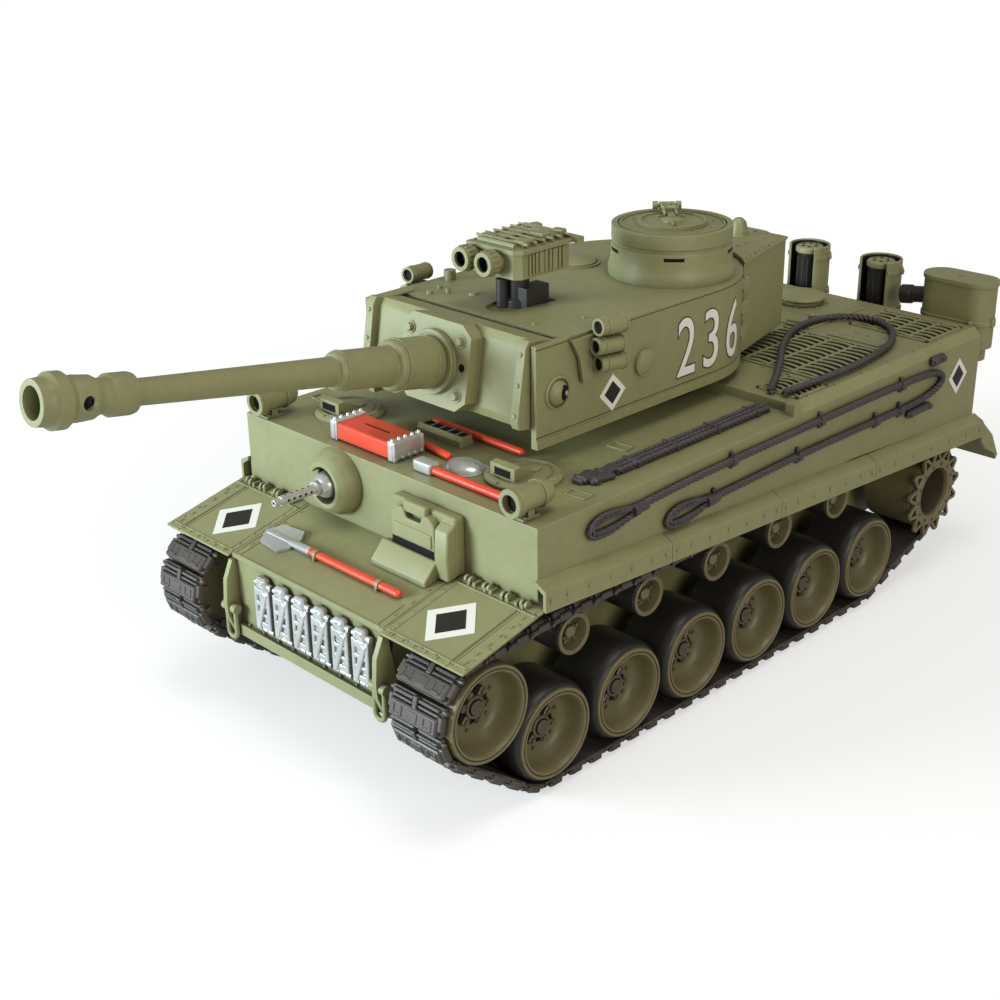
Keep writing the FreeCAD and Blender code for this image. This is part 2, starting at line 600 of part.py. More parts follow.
def mg_ball_mount():
    """Thick domed ring round the machine gun's ball, cut away on the right for its swing."""
    ring = turned([(7.6, 0), (13, 0), (12.6, 3), (11, 6), (8.8, 8), (7.2, 8), (7.2, 4)], MG, V(0, -1, 0),
                  V(0, 0, 1))
    socket = Part.makeSphere(MG_BALL_R + 0.25, V(MG.x, MG_BALL_Y, MG.z))
    notch = box(MG.x - 14, MG.x - 2, HULL_FRONT - 10, HULL_FRONT - 4.5, MG.z - 5, MG.z + 4)
    return cut(ring, [socket, notch])


save("mg_ball_mount", mg_ball_mount())


def hull_mg():
    """Ball with a perforated barrel jacket."""
    ball = Part.makeSphere(MG_BALL_R - 0.75, V(MG.x, MG_BALL_Y, MG.z))
    ball = ball.common(box(MG.x - 9, MG.x + 9, HULL_FRONT - 20, HULL_FRONT - 0.4, MG.z - 9, MG.z + 9))
    tip = MG_BALL_Y - 22
    jacket = rod((MG.x, MG_BALL_Y, MG.z), (MG.x, tip, MG.z), 1.9)
    muzzle = rod((MG.x, tip + 1.5, MG.z), (MG.x, tip - 3, MG.z), 1.3)
    collar = rod((MG.x, MG_BALL_Y - 6.5, MG.z), (MG.x, MG_BALL_Y - 4.0, MG.z), 2.8)
    holes = []
    for index in range(5):
        y = MG_BALL_Y - 9 - 2.6 * index
        holes += [rod((MG.x - 3, y, MG.z), (MG.x + 3, y, MG.z), 0.6),
                  rod((MG.x, y, MG.z - 3), (MG.x, y, MG.z + 3), 0.6)]
    return cut(joined([ball, jacket, muzzle, collar]), holes + [rod((MG.x, tip - 4, MG.z),
                                                                    (MG.x, tip + 2, MG.z), 0.6)])


save("hull_mg", hull_mg())


def headlight(x):
    """Blackout headlight: hooded cylinder with a round back, on a short foot."""
    y, z = -113.5, ROOF_Z + 6.8
    body = turned([(0, 18.5), (2.4, 18), (4.0, 16.2), (4.6, 13.5), (4.6, 2), (5.1, 2), (5.1, 0),
                   (3.1, 0), (3.1, 4),
                   (0, 4)], V(x, y, z), V(0, 1, 0), V(0, 0, 1))
    foot = box(x - 1.6, x + 1.6, y + 3, y + 8, ROOF_Z, z - 3)
    return joined([body, foot, box(x - 3, x + 3, y + 2, y + 10, ROOF_Z, ROOF_Z + 1)])


def roof_hatch(x, y):
    """Round hull hatch with a periscope housing whose window faces forward."""
    lid = turned_z([(0, ROOF_Z), (14, ROOF_Z), (14, ROOF_Z + 1.2), (12.5, ROOF_Z + 2.2),
                    (0, ROOF_Z + 2.2)], x, y)
    house = prism_x([(y - 9.5, ROOF_Z + 1), (y - 9.5, ROOF_Z + 7), (y - 6.5, ROOF_Z + 7.4),
                     (y - 1.5, ROOF_Z + 5),
                     (y, ROOF_Z + 1)], x - 7, x + 5)
    window = box(x - 5, x + 3, y - 10, y - 8.6, ROOF_Z + 2.8, ROOF_Z + 5.8)
    hinge = rod((x + 12, y - 4, ROOF_Z + 1.6), (x + 12, y + 4, ROOF_Z + 1.6), 1.2)
    return joined([lid.cut(rod((x, y, ROOF_Z + 1.8), (x, y, ROOF_Z + 3), 10.5)),
                   turned_z([(0, ROOF_Z + 1), (9.8, ROOF_Z + 1), (9.8, ROOF_Z + 2.1), (0, ROOF_Z + 2.1)],
                            x, y),
                   house.cut(window), hinge])


ventilator = prism_x([(-81, ROOF_Z), (-81, ROOF_Z + 2.6), (-79.6, ROOF_Z + 4), (-75, ROOF_Z + 4),
                      (-74, ROOF_Z)], -14, 10)
save("roof_fittings", [headlight(70), headlight(-70), roof_hatch(46, -84), roof_hatch(-50, -84),
                       ventilator])


def jack_block():
    """Wooden block between two studded end frames."""
    x0, x1, y0, y1, z0, z1 = -33, 3, -107.5, -92, ROOF_Z + 0.6, ROOF_Z + 7.2
    wood = box(x0 + 3, x1 - 3, y0 + 0.6, y1 - 0.6, z0, z1)
    wood = wood.cut(box(x0 + 12, x1 - 10, (y0 + y1) / 2 - 0.5, (y0 + y1) / 2 + 0.5, z1 - 0.8, z1 + 1))
    frames = []
    for a, b in ((x0, x0 + 3), (x1 - 3, x1)):
        frame = box(a, b, y0, y1, ROOF_Z, z1 + 0.6)
        studs = [rod((a - 0.4, y, z), (b + 0.4, y, z), 0.8) for y in (y0 + 2, y1 - 2) for z in (z0 + 1.4,
                                                                                                z1 - 1.2)]
        frames.append(joined([frame] + studs))
    return [wood] + frames


save("jack_block", jack_block())
TOOL_Z = ROOF_Z + 1.7


def tool_heads():
    """Glacis shovel, roof spade and sledge head."""
    tilt = math.degrees(math.atan2(GLACIS_DROP, HULL_FRONT - NOSE_Y))
    shovel = joined([prism_z([(-42, -134), (-38, -140), (-27, -141), (-24, -137), (-24, -131),
                              (-27, -127),
                              (-38, -128)], 0, 1.3), box(-24.5, -14, -135.6, -132.4, 0, 1.5),
                     box(-40, -26, -134.4, -133.6, 1.2, 1.9)])
    shovel.rotate(V(0, HULL_FRONT, 0), V(1, 0, 0), tilt)
    shovel = shovel.translated(V(0, 0, GLACIS_TOP + 0.1))
    blade = turned_z([(0, ROOF_Z + 2.2), (8.5, ROOF_Z + 0.4), (8.5, ROOF_Z), (0, ROOF_Z)], 0, 0)
    blade.rotate(V(0, 0, 0), V(0, 0, 1), 90)
    blade = blade.common(box(-9, 9, -6.6, 6.6, 0, 200)).translated(V(25, -92.5, 0))
    head = box(12.5, 21.5, -106.6, -101.4, ROOF_Z, ROOF_Z + 4.4)
    head = head.makeFillet(0.8, head.Edges)
    return [shovel, blade, head]


save("tool_heads", tool_heads())


def tool_handles():
    """Handles of the shovel, the spade, the bar and the sledge."""
    shovel_y = -134
    shovel_z = glacis_z(shovel_y) + 1.75
    clips = [box(x, x + 2, shovel_y - 2.2, shovel_y + 2.2, shovel_z - 0.6, shovel_z + 1.9) for x in (-9,
                                                                                                     24)]
    handle = rod((-14, shovel_y, shovel_z), (36, shovel_y, shovel_z), 1.5)
    return [joined([handle] + [clip.common(rod((-20, shovel_y, shovel_z), (40, shovel_y, shovel_z), 2.1))
                               for clip in clips]),
            rod((-15, -88, TOOL_Z), (16.3, -91.4, TOOL_Z), 1.4),
            rod((-15, -70.4, TOOL_Z), (33, -70.4, TOOL_Z), 1.4),
            rod((21.5, -104, TOOL_Z), (61, -104, TOOL_Z), 1.6)]


save("tool_handles", tool_handles())

# ---- tow cables: moulded on the roof and the left side ----
CABLE_R = 1.5
PANEL_HEIGHT = 0.6      # engine deck panels; the cable on them stays under the turret's swinging corners


def tow_cables():
    """Cables with eyes, clevises and clips on the left side, the roof and the engine deck."""
    side_x = HULL_HALF + CABLE_R + 0.02
    bend = 5.0
    upper_z, lower_z = 98.5, 88.0
    side = cable([(side_x, -64, upper_z - 1.5), (side_x, -20, upper_z), (side_x, 70, upper_z + 0.5),
                  (side_x, 128, upper_z - 0.5), (side_x, 137, upper_z - 4), (side_x, 134, lower_z + 1),
                  (side_x, 118, lower_z - 1), (side_x, 40, lower_z), (side_x, -22, lower_z - 1)],
                  CABLE_R, bend)
    eyes = []
    for y, z in ((-76, upper_z - 3), (-35, lower_z - 2)):
        eye = cable([(side_x, y + 12.5, z + 1.4), (side_x, y, z + 3.4), (side_x, y - 12, z + 2),
                     (side_x, y - 13, z - 2.5), (side_x, y, z - 2.6), (side_x, y + 12.5, z + 0.4)],
                     CABLE_R - 0.3, 2.5)
        sleeve = rod((side_x, y + 11, z + 1), (side_x, y + 17, z + 1), CABLE_R + 0.5)
        eyes.append(joined([eye, sleeve]).common(box(HULL_HALF + 0.02, 90, -200, 200, 0, 200)))
    clevis = [box(HULL_HALF + 0.02, side_x + 1.6, 126, 136, upper_z + 2.4, upper_z + 7),
              box(HULL_HALF + 0.02, side_x + 1.6, 112, 128, 81.5, 85.5)]
    clips = [box(HULL_HALF + 0.02, side_x + 2.2, y - 1.3, y + 1.3, z - 3.2, z + 3.2)
             for y, z in ((-10, upper_z), (46, upper_z), (104, upper_z), (-20, lower_z - 1),
                          (32, lower_z),
                          (86, lower_z), (104, lower_z - 0.6))]
    side_group = [joined([side] + clips)] + eyes + clevis
    band = box(62.5, 69.5, -58, DECK_START - 3.2, ROOF_Z + 0.02, ROOF_Z + 2.2)
    strands = [rod((x, -58, ROOF_Z + 1.6), (x, DECK_START - 3.2, ROOF_Z + 1.6), 1.2) for x in (63.8, 66,
                                                                                               68.2)]
    heads = [box(61, 66, -76, -66, ROOF_Z + 0.02, ROOF_Z + 3),
             box(66, 70.5, -71, -60, ROOF_Z + 0.02, ROOF_Z + 2.6),
             box(63, 69, -67, -57, ROOF_Z + 0.02, ROOF_Z + 2.9)]
    z = DECK_Z + PANEL_HEIGHT + 0.05 + CABLE_R      # it lies on the deck's raised panels
    loop = cable([(64.5, DECK_START + 2.5, z), (52, 58, z), (34, 84, z), (23, 108, z), (24, 132, z),
                  (38, 143, z),
                  (54, 138, z), (66, 120, z), (71, 96, z), (72.5, 66, z), (70, DECK_START + 2.5, z)],
                  CABLE_R, 12)
    return side_group + [joined([band] + strands + heads), loop]


save("tow_cables", tow_cables())


# ---- engine deck ----
def slotted_panel(x0, x1, y0, y1, columns, rows):
    """Raised panel with rows of cooling slots."""
    top = DECK_Z + PANEL_HEIGHT
    panel = box(x0, x1, y0, y1, DECK_Z, top)
    slot_l = (x1 - x0 - 4) / columns
    slot_p = (y1 - y0 - 6) / rows
    slots = []
    for column in range(columns):
        for row in range(rows):
            x, y = x0 + 2 + slot_l * column, y0 + 3 + slot_p * row
            slots.append(box(x + 0.9, x + slot_l - 0.9, y + 0.4 * slot_p, y + 0.8 * slot_p, DECK_Z + 0.2,
                             top + 1))
    return cut(panel, slots)


def engine_deck():
    """Four slotted grilles and the hatch with its domed air inlet."""
    panels = []
    for side in (1, -1):
        for x0, x1, y0, y1, columns, rows in ((15, 68, 62, 112, 5, 9), (34, 74, 134, 163, 4, 6)):
            a, b = sorted((side * x0, side * x1))
            panels.append(slotted_panel(a, b, y0, y1, columns, rows))
    hatch = box(-26, 26, 116, 162, DECK_Z, DECK_Z + PANEL_HEIGHT)
    dome = turned_z([(0, DECK_Z + 0.3), (9, DECK_Z + 0.3), (9, DECK_Z + 2.6), (10.5, DECK_Z + 3),
                     (10.5, DECK_Z + 4.2),
                     (8, DECK_Z + 5.6), (4, DECK_Z + 6.4), (0, DECK_Z + 6.6)], 0, 146)
    hinge_z = DECK_Z + 1.4
    hinges = [rod((x - 3, 117.5, hinge_z), (x + 3, 117.5, hinge_z), 1.2) for x in (-18, 18)]
    return panels + [joined([hatch, dome] + hinges)]


save("engine_deck", engine_deck())


def exhaust(x):
    """Upright exhaust pipe with a drilled cap inside a half-open heat guard on the rear plate."""
    y = HULL_REAR + 10.6
    pipe = turned_z([(0, 84), (6.2, 84), (6.2, 88), (5.4, 89), (5.4, 121), (6.4, 122), (6.4, 125.5),
                     (0, 125.5)], x, y)
    pipe = cut(pipe, [rod((x + 3.4 * math.cos(a), y + 3.4 * math.sin(a), 124.8),
                          (x + 3.4 * math.cos(a), y + 3.4 * math.sin(a), 127), 0.8)
                      for a in [math.pi * i / 3 for i in range(6)]])
    foot = box(x - 4, x + 4, HULL_REAR, y, 86, 90)
    guard = turned_z([(8.6, 88), (9.8, 88), (9.8, 127), (8.6, 127)], x, y)
    opening = prism_z([(x, y), (x - 25, y - 17), (x + 22, y - 20)], 97, 130)
    guard = guard.cut(opening)
    bands = [turned_z([(9.7, z), (10.4, z), (10.4, z + 1.6), (9.7, z + 1.6)], x,
                      y).cut(opening) for z in (104, 121)]
    floor = turned_z([(6.1, 88), (9, 88), (9, 89.2), (6.1, 89.2)], x, y)
    return joined([pipe, foot, guard.cut(box(x - 4, x + 4, HULL_REAR - 1, y, 80, 92)), floor] + bands)


exhausts = joined([exhaust(20)]), joined([exhaust(-20)])
save("exhausts", [solid.common(box(-60, 60, HULL_REAR, 230, 0, 200)) for solid in exhausts])


def air_filter():
    """Oval canister on the rear plate's corner, with a lid, a band and a pipe stub."""
    x0, x1, y, half = 54.0, 71.0, HULL_REAR + 9.3, 8.6

    def oval(grow, z0, z1):
        middle = box(x0, x1, y - half - grow, y + half + grow, z0, z1)
        ends = [rod((x, y, z0), (x, y, z1), half + grow) for x in (x0, x1)]
        return joined([middle] + ends)

    body = joined([oval(0, 96, 124.5), oval(0.6, 124.5, 126.5), oval(0.5, 107, 109)])
    lower = joined([oval(-2.4, 90, 96)])
    stub = joined([rod((x0 - 2, y - 2, 116), (x0 - 17, y - 4, 114), 3.6),
                   rod((x0 - 14, y - 3.7, 114.4), (x0 - 18, y - 4.1, 113.9), 4.2)])
    hole = rod((x0 - 12, y - 3.4, 114.6), (x0 - 20, y - 4.4, 113.6), 2.6)
    return cut(joined([body, lower, stub]), [hole])


save("air_filters", [solid.common(box(-120, 120, HULL_REAR, 230, 0,
                                      200)) for solid in both_sides([air_filter()])])

# ---- turret ----
def turret_plan(half, front, arc_r):
    """Horseshoe outline: straight sides and a round back."""
    points = [V(half, front, 0), V(half, TURRET_ARC_Y, 0)]
    edges = [Part.LineSegment(points[0], points[1]).toShape(),
             Part.Arc(points[1], V(0, TURRET_ARC_Y + arc_r, 0), V(-half, TURRET_ARC_Y, 0)).toShape(),
             Part.LineSegment(V(-half, TURRET_ARC_Y, 0), V(-half, front, 0)).toShape(),
             Part.LineSegment(V(-half, front, 0), V(half, front, 0)).toShape()]
    return Part.Face(Part.Wire(edges))


def turret_shell():
    """Hollow turret with a pocket for the mantlet, side ports and the trunnion pin."""
    half = TURRET_HALF
    height = TURRET_ROOF - TURRET_FLOOR
    outer = turret_plan(half, CHEEK_FRONT, half).extrude(V(0, 0, height)).translated(V(0, 0,
                                                                                       TURRET_FLOOR))
    lip = turret_plan(half + 0.5, CHEEK_FRONT, half + 0.5).extrude(V(0, 0, 3.2)).translated(V(0, 0,
                                                                                              TURRET_FLOOR))
    inner = turret_plan(half - WALL, TURRET_FRONT + WALL, half - WALL).extrude(V(0, 0, height - 2 * WALL))
    inner = inner.translated(V(0, 0, TURRET_FLOOR + WALL))
    pocket = box(-43, 43, CHEEK_FRONT - 1, TURRET_FRONT, TURRET_FLOOR - 1, TURRET_ROOF + 1)
    breech = box(-16, 16, TURRET_FRONT - 1, TURRET_FRONT + WALL + 1, 118, 144)
    ring_hole = rod((0, RING_Y, TURRET_FLOOR - 1), (0, RING_Y, TURRET_FLOOR + WALL + 1), 27)
    sight_well = joined([rod((SIGHT.x, SIGHT.y - 8, TURRET_ROOF - 0.9),
                             (SIGHT.x, SIGHT.y - 8, TURRET_ROOF + 1), 6.5),
                         prism_z([(SIGHT.x - 6.2, SIGHT.y - 10), (SIGHT.x + 6.2, SIGHT.y - 10),
                                  (SIGHT.x + 9, SIGHT.y + 12), (SIGHT.x - 9, SIGHT.y + 12)],
                                 TURRET_ROOF - 0.9, TURRET_ROOF + 1)])
    shell = cut(joined([outer, lip]), [inner, pocket, breech, ring_hole, sight_well])
    brackets = both_sides([box(13, 16, TRUNNION.y - 5, TRUNNION.y + 5, TURRET_FLOOR + WALL - 0.5,
                               TRUNNION.z + 5)])
    pin = rod((-15.5, TRUNNION.y, TRUNNION.z), (15.5, TRUNNION.y, TRUNNION.z), 2.0)
    ports = []
    for side in (1, -1):
        port = Part.makeSphere(5.4, V(side * (half - 2.2), -66.5, 131))
        port = port.cut(box(side * half - 0.9, side * half + 0.9, -66, -63.5, 128,
                            134).translated(V(side * 2.6, 0, 0)))
        port = port.common(box(*sorted((side * (half - 0.5), side * (half + 8))), -80, -50, 100, 150))
        ports += [port, rod((side * (half - 1), -20, 131), (side * (half + 1.5), -20, 131), 5.2)]
    stub = rod((-40, -38, TURRET_ROOF - 0.5), (-40, -38, TURRET_ROOF + 4), 2.4)
    return joined([shell, pin, stub] + brackets + ports)


save("turret_shell", turret_shell())


def turret_ring():
    """Dark collar under the turret, its spigot through the roof and the toothed flange that holds it in."""
    collar = turned_z([(28, ROOF_Z + 0.5), (31, ROOF_Z + 0.5), (RING_R, ROOF_Z + 0.5),
                       (RING_R, DECK_Z + 0.6),
                       (36, DECK_Z + 0.6), (36, TURRET_FLOOR), (28, TURRET_FLOOR)], 0, RING_Y)
    spigot = turned_z([(28, 97), (RING_R, 97), (RING_R, ROOF_Z + 1), (28, ROOF_Z + 1)], 0, RING_Y)
    teeth = 72
    outline = []
    for index in range(teeth):
        for part, radius in ((0.0, 34.4), (0.35, 36.2), (0.65, 36.2)):
            angle = 2 * math.pi * (index + part) / teeth
            outline.append((radius * math.cos(angle), RING_Y + radius * math.sin(angle)))
    flange = prism_z(outline, 97, 101.2).cut(rod((0, RING_Y, 90), (0, RING_Y, 105), 30))
    return joined([collar, spigot, flange])


save("turret_ring", turret_ring())


def turret_bin():
    """Stowage bin hugging the round back, with a small domed cap on its lid."""
    body = prism_z([(33, 56), (21, 101), (-21, 101), (-33, 56)], TURRET_FLOOR + 1, TURRET_ROOF + 1)
    lid = prism_z([(33.4, 56), (21.5, 101.6), (-21.5, 101.6), (-33.4, 56)], TURRET_ROOF + 0.6,
                  TURRET_ROOF + 1.8)
    body = joined([body, lid]).cut(rod((0, TURRET_ARC_Y, 100), (0, TURRET_ARC_Y, 160),
                                       TURRET_HALF + 0.52))
    cap = turned_z([(0, TURRET_ROOF + 1.4), (4.6, TURRET_ROOF + 1.4), (4.0, TURRET_ROOF + 4),
                    (3.2, TURRET_ROOF + 7.5),
                    (1.6, TURRET_ROOF + 9), (0, TURRET_ROOF + 9.4)], 4, 90)
    rivets = [rod((x, y, TURRET_ROOF + 1.5), (x, y, TURRET_ROOF + 2.3), 0.6)
              for y in (74, 80, 86, 92, 98) for x in (-16, -8, 16)]
    return joined([body, cap] + rivets)


save("turret_bin", turret_bin())


def smoke_launcher():
    """Three tubes one above another on a bracket."""
    x = TURRET_HALF + 5.2
    tubes = []
    for z, y in ((TURRET_ROOF + 2.4, -51), (TURRET_ROOF - 4.4, -52.5), (TURRET_ROOF - 11.2, -51)):
        tube = rod((x, y, z), (x + 1.5, y + 12, z - 0.6), 3.2)
        tubes.append(tube.cut(rod((x - 0.2, y - 1, z), (x + 0.8, y + 7, z - 0.4), 2.3)))
    bracket = prism_x([(-61, TURRET_ROOF - 1), (-42, TURRET_ROOF - 1), (-42, TURRET_ROOF - 9),
                       (-52, TURRET_ROOF - 18), (-55, TURRET_ROOF - 18), (-57, TURRET_ROOF - 8)],
                       TURRET_HALF + 0.55, TURRET_HALF + 2.2)
    return joined([bracket] + tubes)


save("smoke_launchers", both_sides([smoke_launcher()]))
HATCH_SIDE = V(-math.sqrt(0.5), math.sqrt(0.5),
               0)      # the hatch's hinge is at the right rear of the cupola
HATCH_HINGE = V(CUPOLA.x, CUPOLA.y, 171.0) + HATCH_SIDE * 24.0
HATCH_AXIS = V(-math.sqrt(0.5), -math.sqrt(0.5), 0)


def toward_hinge(shape):
    """Turns a shape drawn along +X from the cupola's centre to the hinge's side."""
    return shape.rotated(V(0, 0, 0), V(0, 0, 1), 135).translated(V(CUPOLA.x, CUPOLA.y, 0))


def commander_cupola():
    """Drum with vision slits, a recess for its lid and two hinge ears."""
    r, top, base = CUPOLA_R, CUPOLA_TOP, TURRET_ROOF
    drum = turned_z([(r - 5, base), (r + 1.2, base), (r + 1.2, base + 3), (r + 0.2, base + 6),
                     (r, base + 12.5),
                     (r - 0.6, base + 13), (r - 0.6, base + 14), (r, base + 14.5), (r, top),
                     (r - 2.4, top),
                     (r - 2.4, top - 2.2), (r - 5, top - 2.2)], CUPOLA.x, CUPOLA.y)
    slits = []
    for index in range(5):
        angle = math.radians(-48 + 72 * index)
        slit = box(r - 1.2, r + 3, -4, 4, base + 10, base + 11.4)
        slits.append(slit.rotated(V(0, 0, 0), V(0, 0, 1), math.degrees(angle)).translated(V(CUPOLA.x,
                                                                                            CUPOLA.y, 0)))
    notch = toward_hinge(box(r - 6, r + 3, -3.4, 3.4, top - 2.2, top + 1))
    ears = [toward_hinge(joined([box(r - 1.6, r + 1.4, y, y + 2.2, base + 12, 171),
                                 rod((r, y, 171), (r, y + 2.2, 171), 1.9)]))
            for y in (3.6, -5.8)]
    pin = toward_hinge(rod((r, -5.6, 171), (r, 5.6, 171), 0.8))
    return joined([cut(drum, slits + [notch]), pin] + ears)


save("commander_cupola", commander_cupola())


def cupola_hatch():
    """Flat lid in the cupola's recess with a raised disc, a latch and a hinge arm."""
    top = CUPOLA_TOP
    lid = turned_z([(0, top - 1.9), (CUPOLA_R - 2.7, top - 1.9), (CUPOLA_R - 2.7, top - 0.5),
                    (14, top - 0.5), (14, top + 0.6),
                    (0, top + 0.6)], CUPOLA.x, CUPOLA.y)
    knuckle = toward_hinge(joined([rod((CUPOLA_R, -3.1, 171), (CUPOLA_R, 3.1, 171), 1.7),
                                   box(2, CUPOLA_R - 1.2, -1.4, 1.4, top - 0.8, top + 2.0),
                                   box(CUPOLA_R - 6, CUPOLA_R, -2.6, 2.6, top - 0.6, top + 1.6)]))
    knuckle = knuckle.cut(toward_hinge(rod((CUPOLA_R, -4, 171), (CUPOLA_R, 4, 171), 0.85)))
    bolts = [toward_hinge(rod((x, y, top), (x, y, top + 1.4), 0.9)) for x,
             y in ((6, 5), (6, -5), (-4, 0))]
    return joined([lid, knuckle] + bolts)


save("cupola_hatch", cupola_hatch())
SIGHT_Z = 163.0


def sight_post():
    """Dark post, clamp and box in a recess of the roof."""
    base = turned_z([(0, TURRET_ROOF - 0.9), (5.6, TURRET_ROOF - 0.9), (5.6, TURRET_ROOF + 1.5),
                     (4.4, TURRET_ROOF + 3),
                     (4.4, SIGHT_Z - 3), (5.4, SIGHT_Z - 2.4), (5.4, SIGHT_Z - 0.1), (2.0, SIGHT_Z - 0.1),
                     (2.0, SIGHT_Z + 5), (0, SIGHT_Z + 5)], SIGHT.x, SIGHT.y)
    clamp = [rod((SIGHT.x - 2.2, SIGHT.y - 6.2, TURRET_ROOF - 0.4),
                 (SIGHT.x - 2.2, SIGHT.y - 6.2, SIGHT_Z - 3), 2.2),
             box(SIGHT.x + 1, SIGHT.x + 7.5, SIGHT.y - 3, SIGHT.y + 9, TURRET_ROOF - 0.9,
                 TURRET_ROOF + 7)]
    return joined([base] + clamp)


save("sight_post", sight_post())


def sight_head():
    """Armoured sight: two short lens tubes in front of a ribbed housing with stowed gear on top."""
    x, y, z = SIGHT.x, SIGHT.y, SIGHT_Z
    body = prism_z([(x - 10, y - 13), (x + 10.5, y - 13), (x + 13, y - 10.5), (x + 13, y + 14),
                    (x + 9, y + 17),
                    (x - 11, y + 17), (x - 13, y + 12), (x - 13, y - 9)], z, z + 10)
    lid = prism_z([(x - 13.4, y - 13.6), (x + 11, y - 13.6), (x + 13.8, y - 11), (x + 13.8, y + 16),
                   (x + 9, y + 19),
                   (x - 11, y + 19), (x - 13.8, y + 13)], z + 9.4, z + 11)
    tubes = []
    for tube_x in (x - 9.6, x + 2.4):
        tube = turned([(2.9, 0), (4.4, 0), (4.6, 1), (4.6, 5.4), (3.8, 6), (3.8, 10), (0, 10), (0, 4.5),
                       (2.9, 4.5)],
                      V(tube_x, y - 20.5, z + 5.8), V(0, 1, 0), V(0, 0, 1))
        tubes.append(tube)
    ribs = [box(x + 12.6, x + 13.6, y - 4 + 2.4 * i, y - 2.8 + 2.4 * i, z + 1, z + 9) for i in range(7)]
    gear = [box(x - 8, x - 1, y - 8, y + 10, z + 10.6, z + 12.6),
            box(x + 1, x + 9, y - 6, y + 2, z + 10.6, z + 12.2),
            box(x + 1, x + 9, y + 4, y + 12, z + 10.6, z + 13),
            rod((x - 10, y + 14, z + 12), (x + 9, y + 14, z + 12), 1.4),
            rod((x - 10, y - 10, z + 11.6), (x + 9, y - 10, z + 11.6), 1.1),
            box(x + 8, x + 16.5, y + 15, y + 18.5, z + 9.6, z + 11.6)]
    socket = rod((x, y, z - 1), (x, y, z + 5.2), 2.06)
    return joined([body, lid] + tubes + ribs + gear).cut(socket)


save("sight_head", sight_head())

# ---- gun: drawn level along -Y from the trunnion, then elevated ----
def along_gun(profile):
    """Turns an outline of (radius, distance in front of the trunnion) about the bore."""
    return turned(profile, TRUNNION, V(0, -1, 0), V(0, 0, 1))


def gun_y(distance):
    """The y that lies a distance in front of the trunnion."""
    return TRUNNION.y - distance


def mantlet():
    """Wide cast plate that tilts with the gun: end ribs, a bolted middle plate and two trunnion arms."""
    z0, z1, half = TRUNNION.z - 16, TRUNNION.z + 16, 42.4
    body = prism_x([(gun_y(18), z0), (gun_y(27), z0), (gun_y(28.5), z0 + 3), (gun_y(28.5), z1 - 3),
                    (gun_y(27), z1),
                    (gun_y(18), z1)], -half, half)
    ribs = both_sides([prism_x([(gun_y(26), z0), (gun_y(30), z0), (gun_y(31.5), z0 + 2.5),
                                (gun_y(31.5), z1 - 2.5),
                                (gun_y(30), z1), (gun_y(26), z1)], 38.6, half)])
    plate = prism_y([(-18, z0 + 4), (-13, z0), (13, z0), (18, z0 + 4), (18, z1 - 4), (13, z1), (-13, z1),
                     (-18, z1 - 4)], gun_y(34), gun_y(28))
    flange = along_gun([(0, 33), (12.0, 33), (11.4, 36.5), (0, 36.5)])
    bolts = [rod((x, gun_y(33), z), (x, gun_y(35.4), z), 1.6) for x in (-13.5,
                                                                        13.5) for z in (TRUNNION.z - 10,
                                                                                        TRUNNION.z + 10)]
    sight_hole = rod((14.5, gun_y(36), TRUNNION.z + 0.5), (14.5, gun_y(30), TRUNNION.z + 0.5), 1.5)
    arms = both_sides([box(9.4, 12.4, gun_y(19), TRUNNION.y + 4, TRUNNION.z - 5, TRUNNION.z + 5)])
    whole = joined([body, plate, flange] + ribs + bolts + arms)
    return cut(whole, [sight_hole, rod((-14, TRUNNION.y, TRUNNION.z), (14, TRUNNION.y, TRUNNION.z),
                                       2.06)])


save("mantlet", elevated(mantlet()))
barrel = along_gun([(0, 36.5), (9.6, 36.5), (9.3, 55), (8.6, 56.4), (7.3, 57), (7.0, 80), (6.2, 81.5),
                    (5.2, 82), (4.3, 160.5),
                    (0, 160.5)])
save("gun_barrel", elevated(barrel))
brake = along_gun([(0, 160.5), (6.4, 160.5), (6.8, 162), (6.8, 169), (5.6, 170.5), (5.6, 172.5),
                   (6.9, 175), (7.3, 180.5),
                   (7.1, 182), (8.9, 184.6), (8.9, 188.4), (7.6, 190.2), (7.2, 193.8), (5.2, 193.8),
                   (5.2, 174), (0, 174)])
BRAKE_PORT = 178.5
port = rod((-12, gun_y(BRAKE_PORT), TRUNNION.z), (12, gun_y(BRAKE_PORT), TRUNNION.z), 2.3)
save("muzzle_brake", elevated(brake.cut(port)))


def shackle():
    """Bow shackle hanging from the left tow eye on its cross pin."""
    y, z, thick = -151.6, 46.0, 1.0
    left, right, drop = 40.4, 45.4, 10.0
    pin = rod((left - 1.4, y, z), (right + 1.4, y, z), 1.1)
    arms = [rod((x, y, z), (x, y, z - drop), thick) for x in (left, right)]
    middle = (left + right) / 2
    bow = Part.makeTorus((right - left) / 2, thick, V(middle, y, z - drop), V(0, 1, 0))
    bow = bow.common(box(left - 2, right + 2, y - 3, y + 3, z - drop - 8, z - drop))
    knobs = [rod((x - 1.3, y, z), (x + 1.3, y, z), 1.9) for x in (left - 0.2, right + 0.2)]
    return joined([pin, bow] + arms + knobs)


hook = shackle()
save("shackle_left", hook)
save("shackle_right", mirrored(hook))

for name, shape in PARTS.items():
    shape.exportStep("parts/%s.step" % name)
whole_box = FreeCAD.BoundBox()
for shape in PARTS.values():
    whole_box.add(shape.BoundBox)
print(len(PARTS), "nodes", whole_box)
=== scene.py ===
"""Finished looks of a radio-controlled tank moulded in olive plastic. Metres, in the frame of the model."""
import json
import math
import bmesh
import bpy
from mathutils import Matrix, Vector


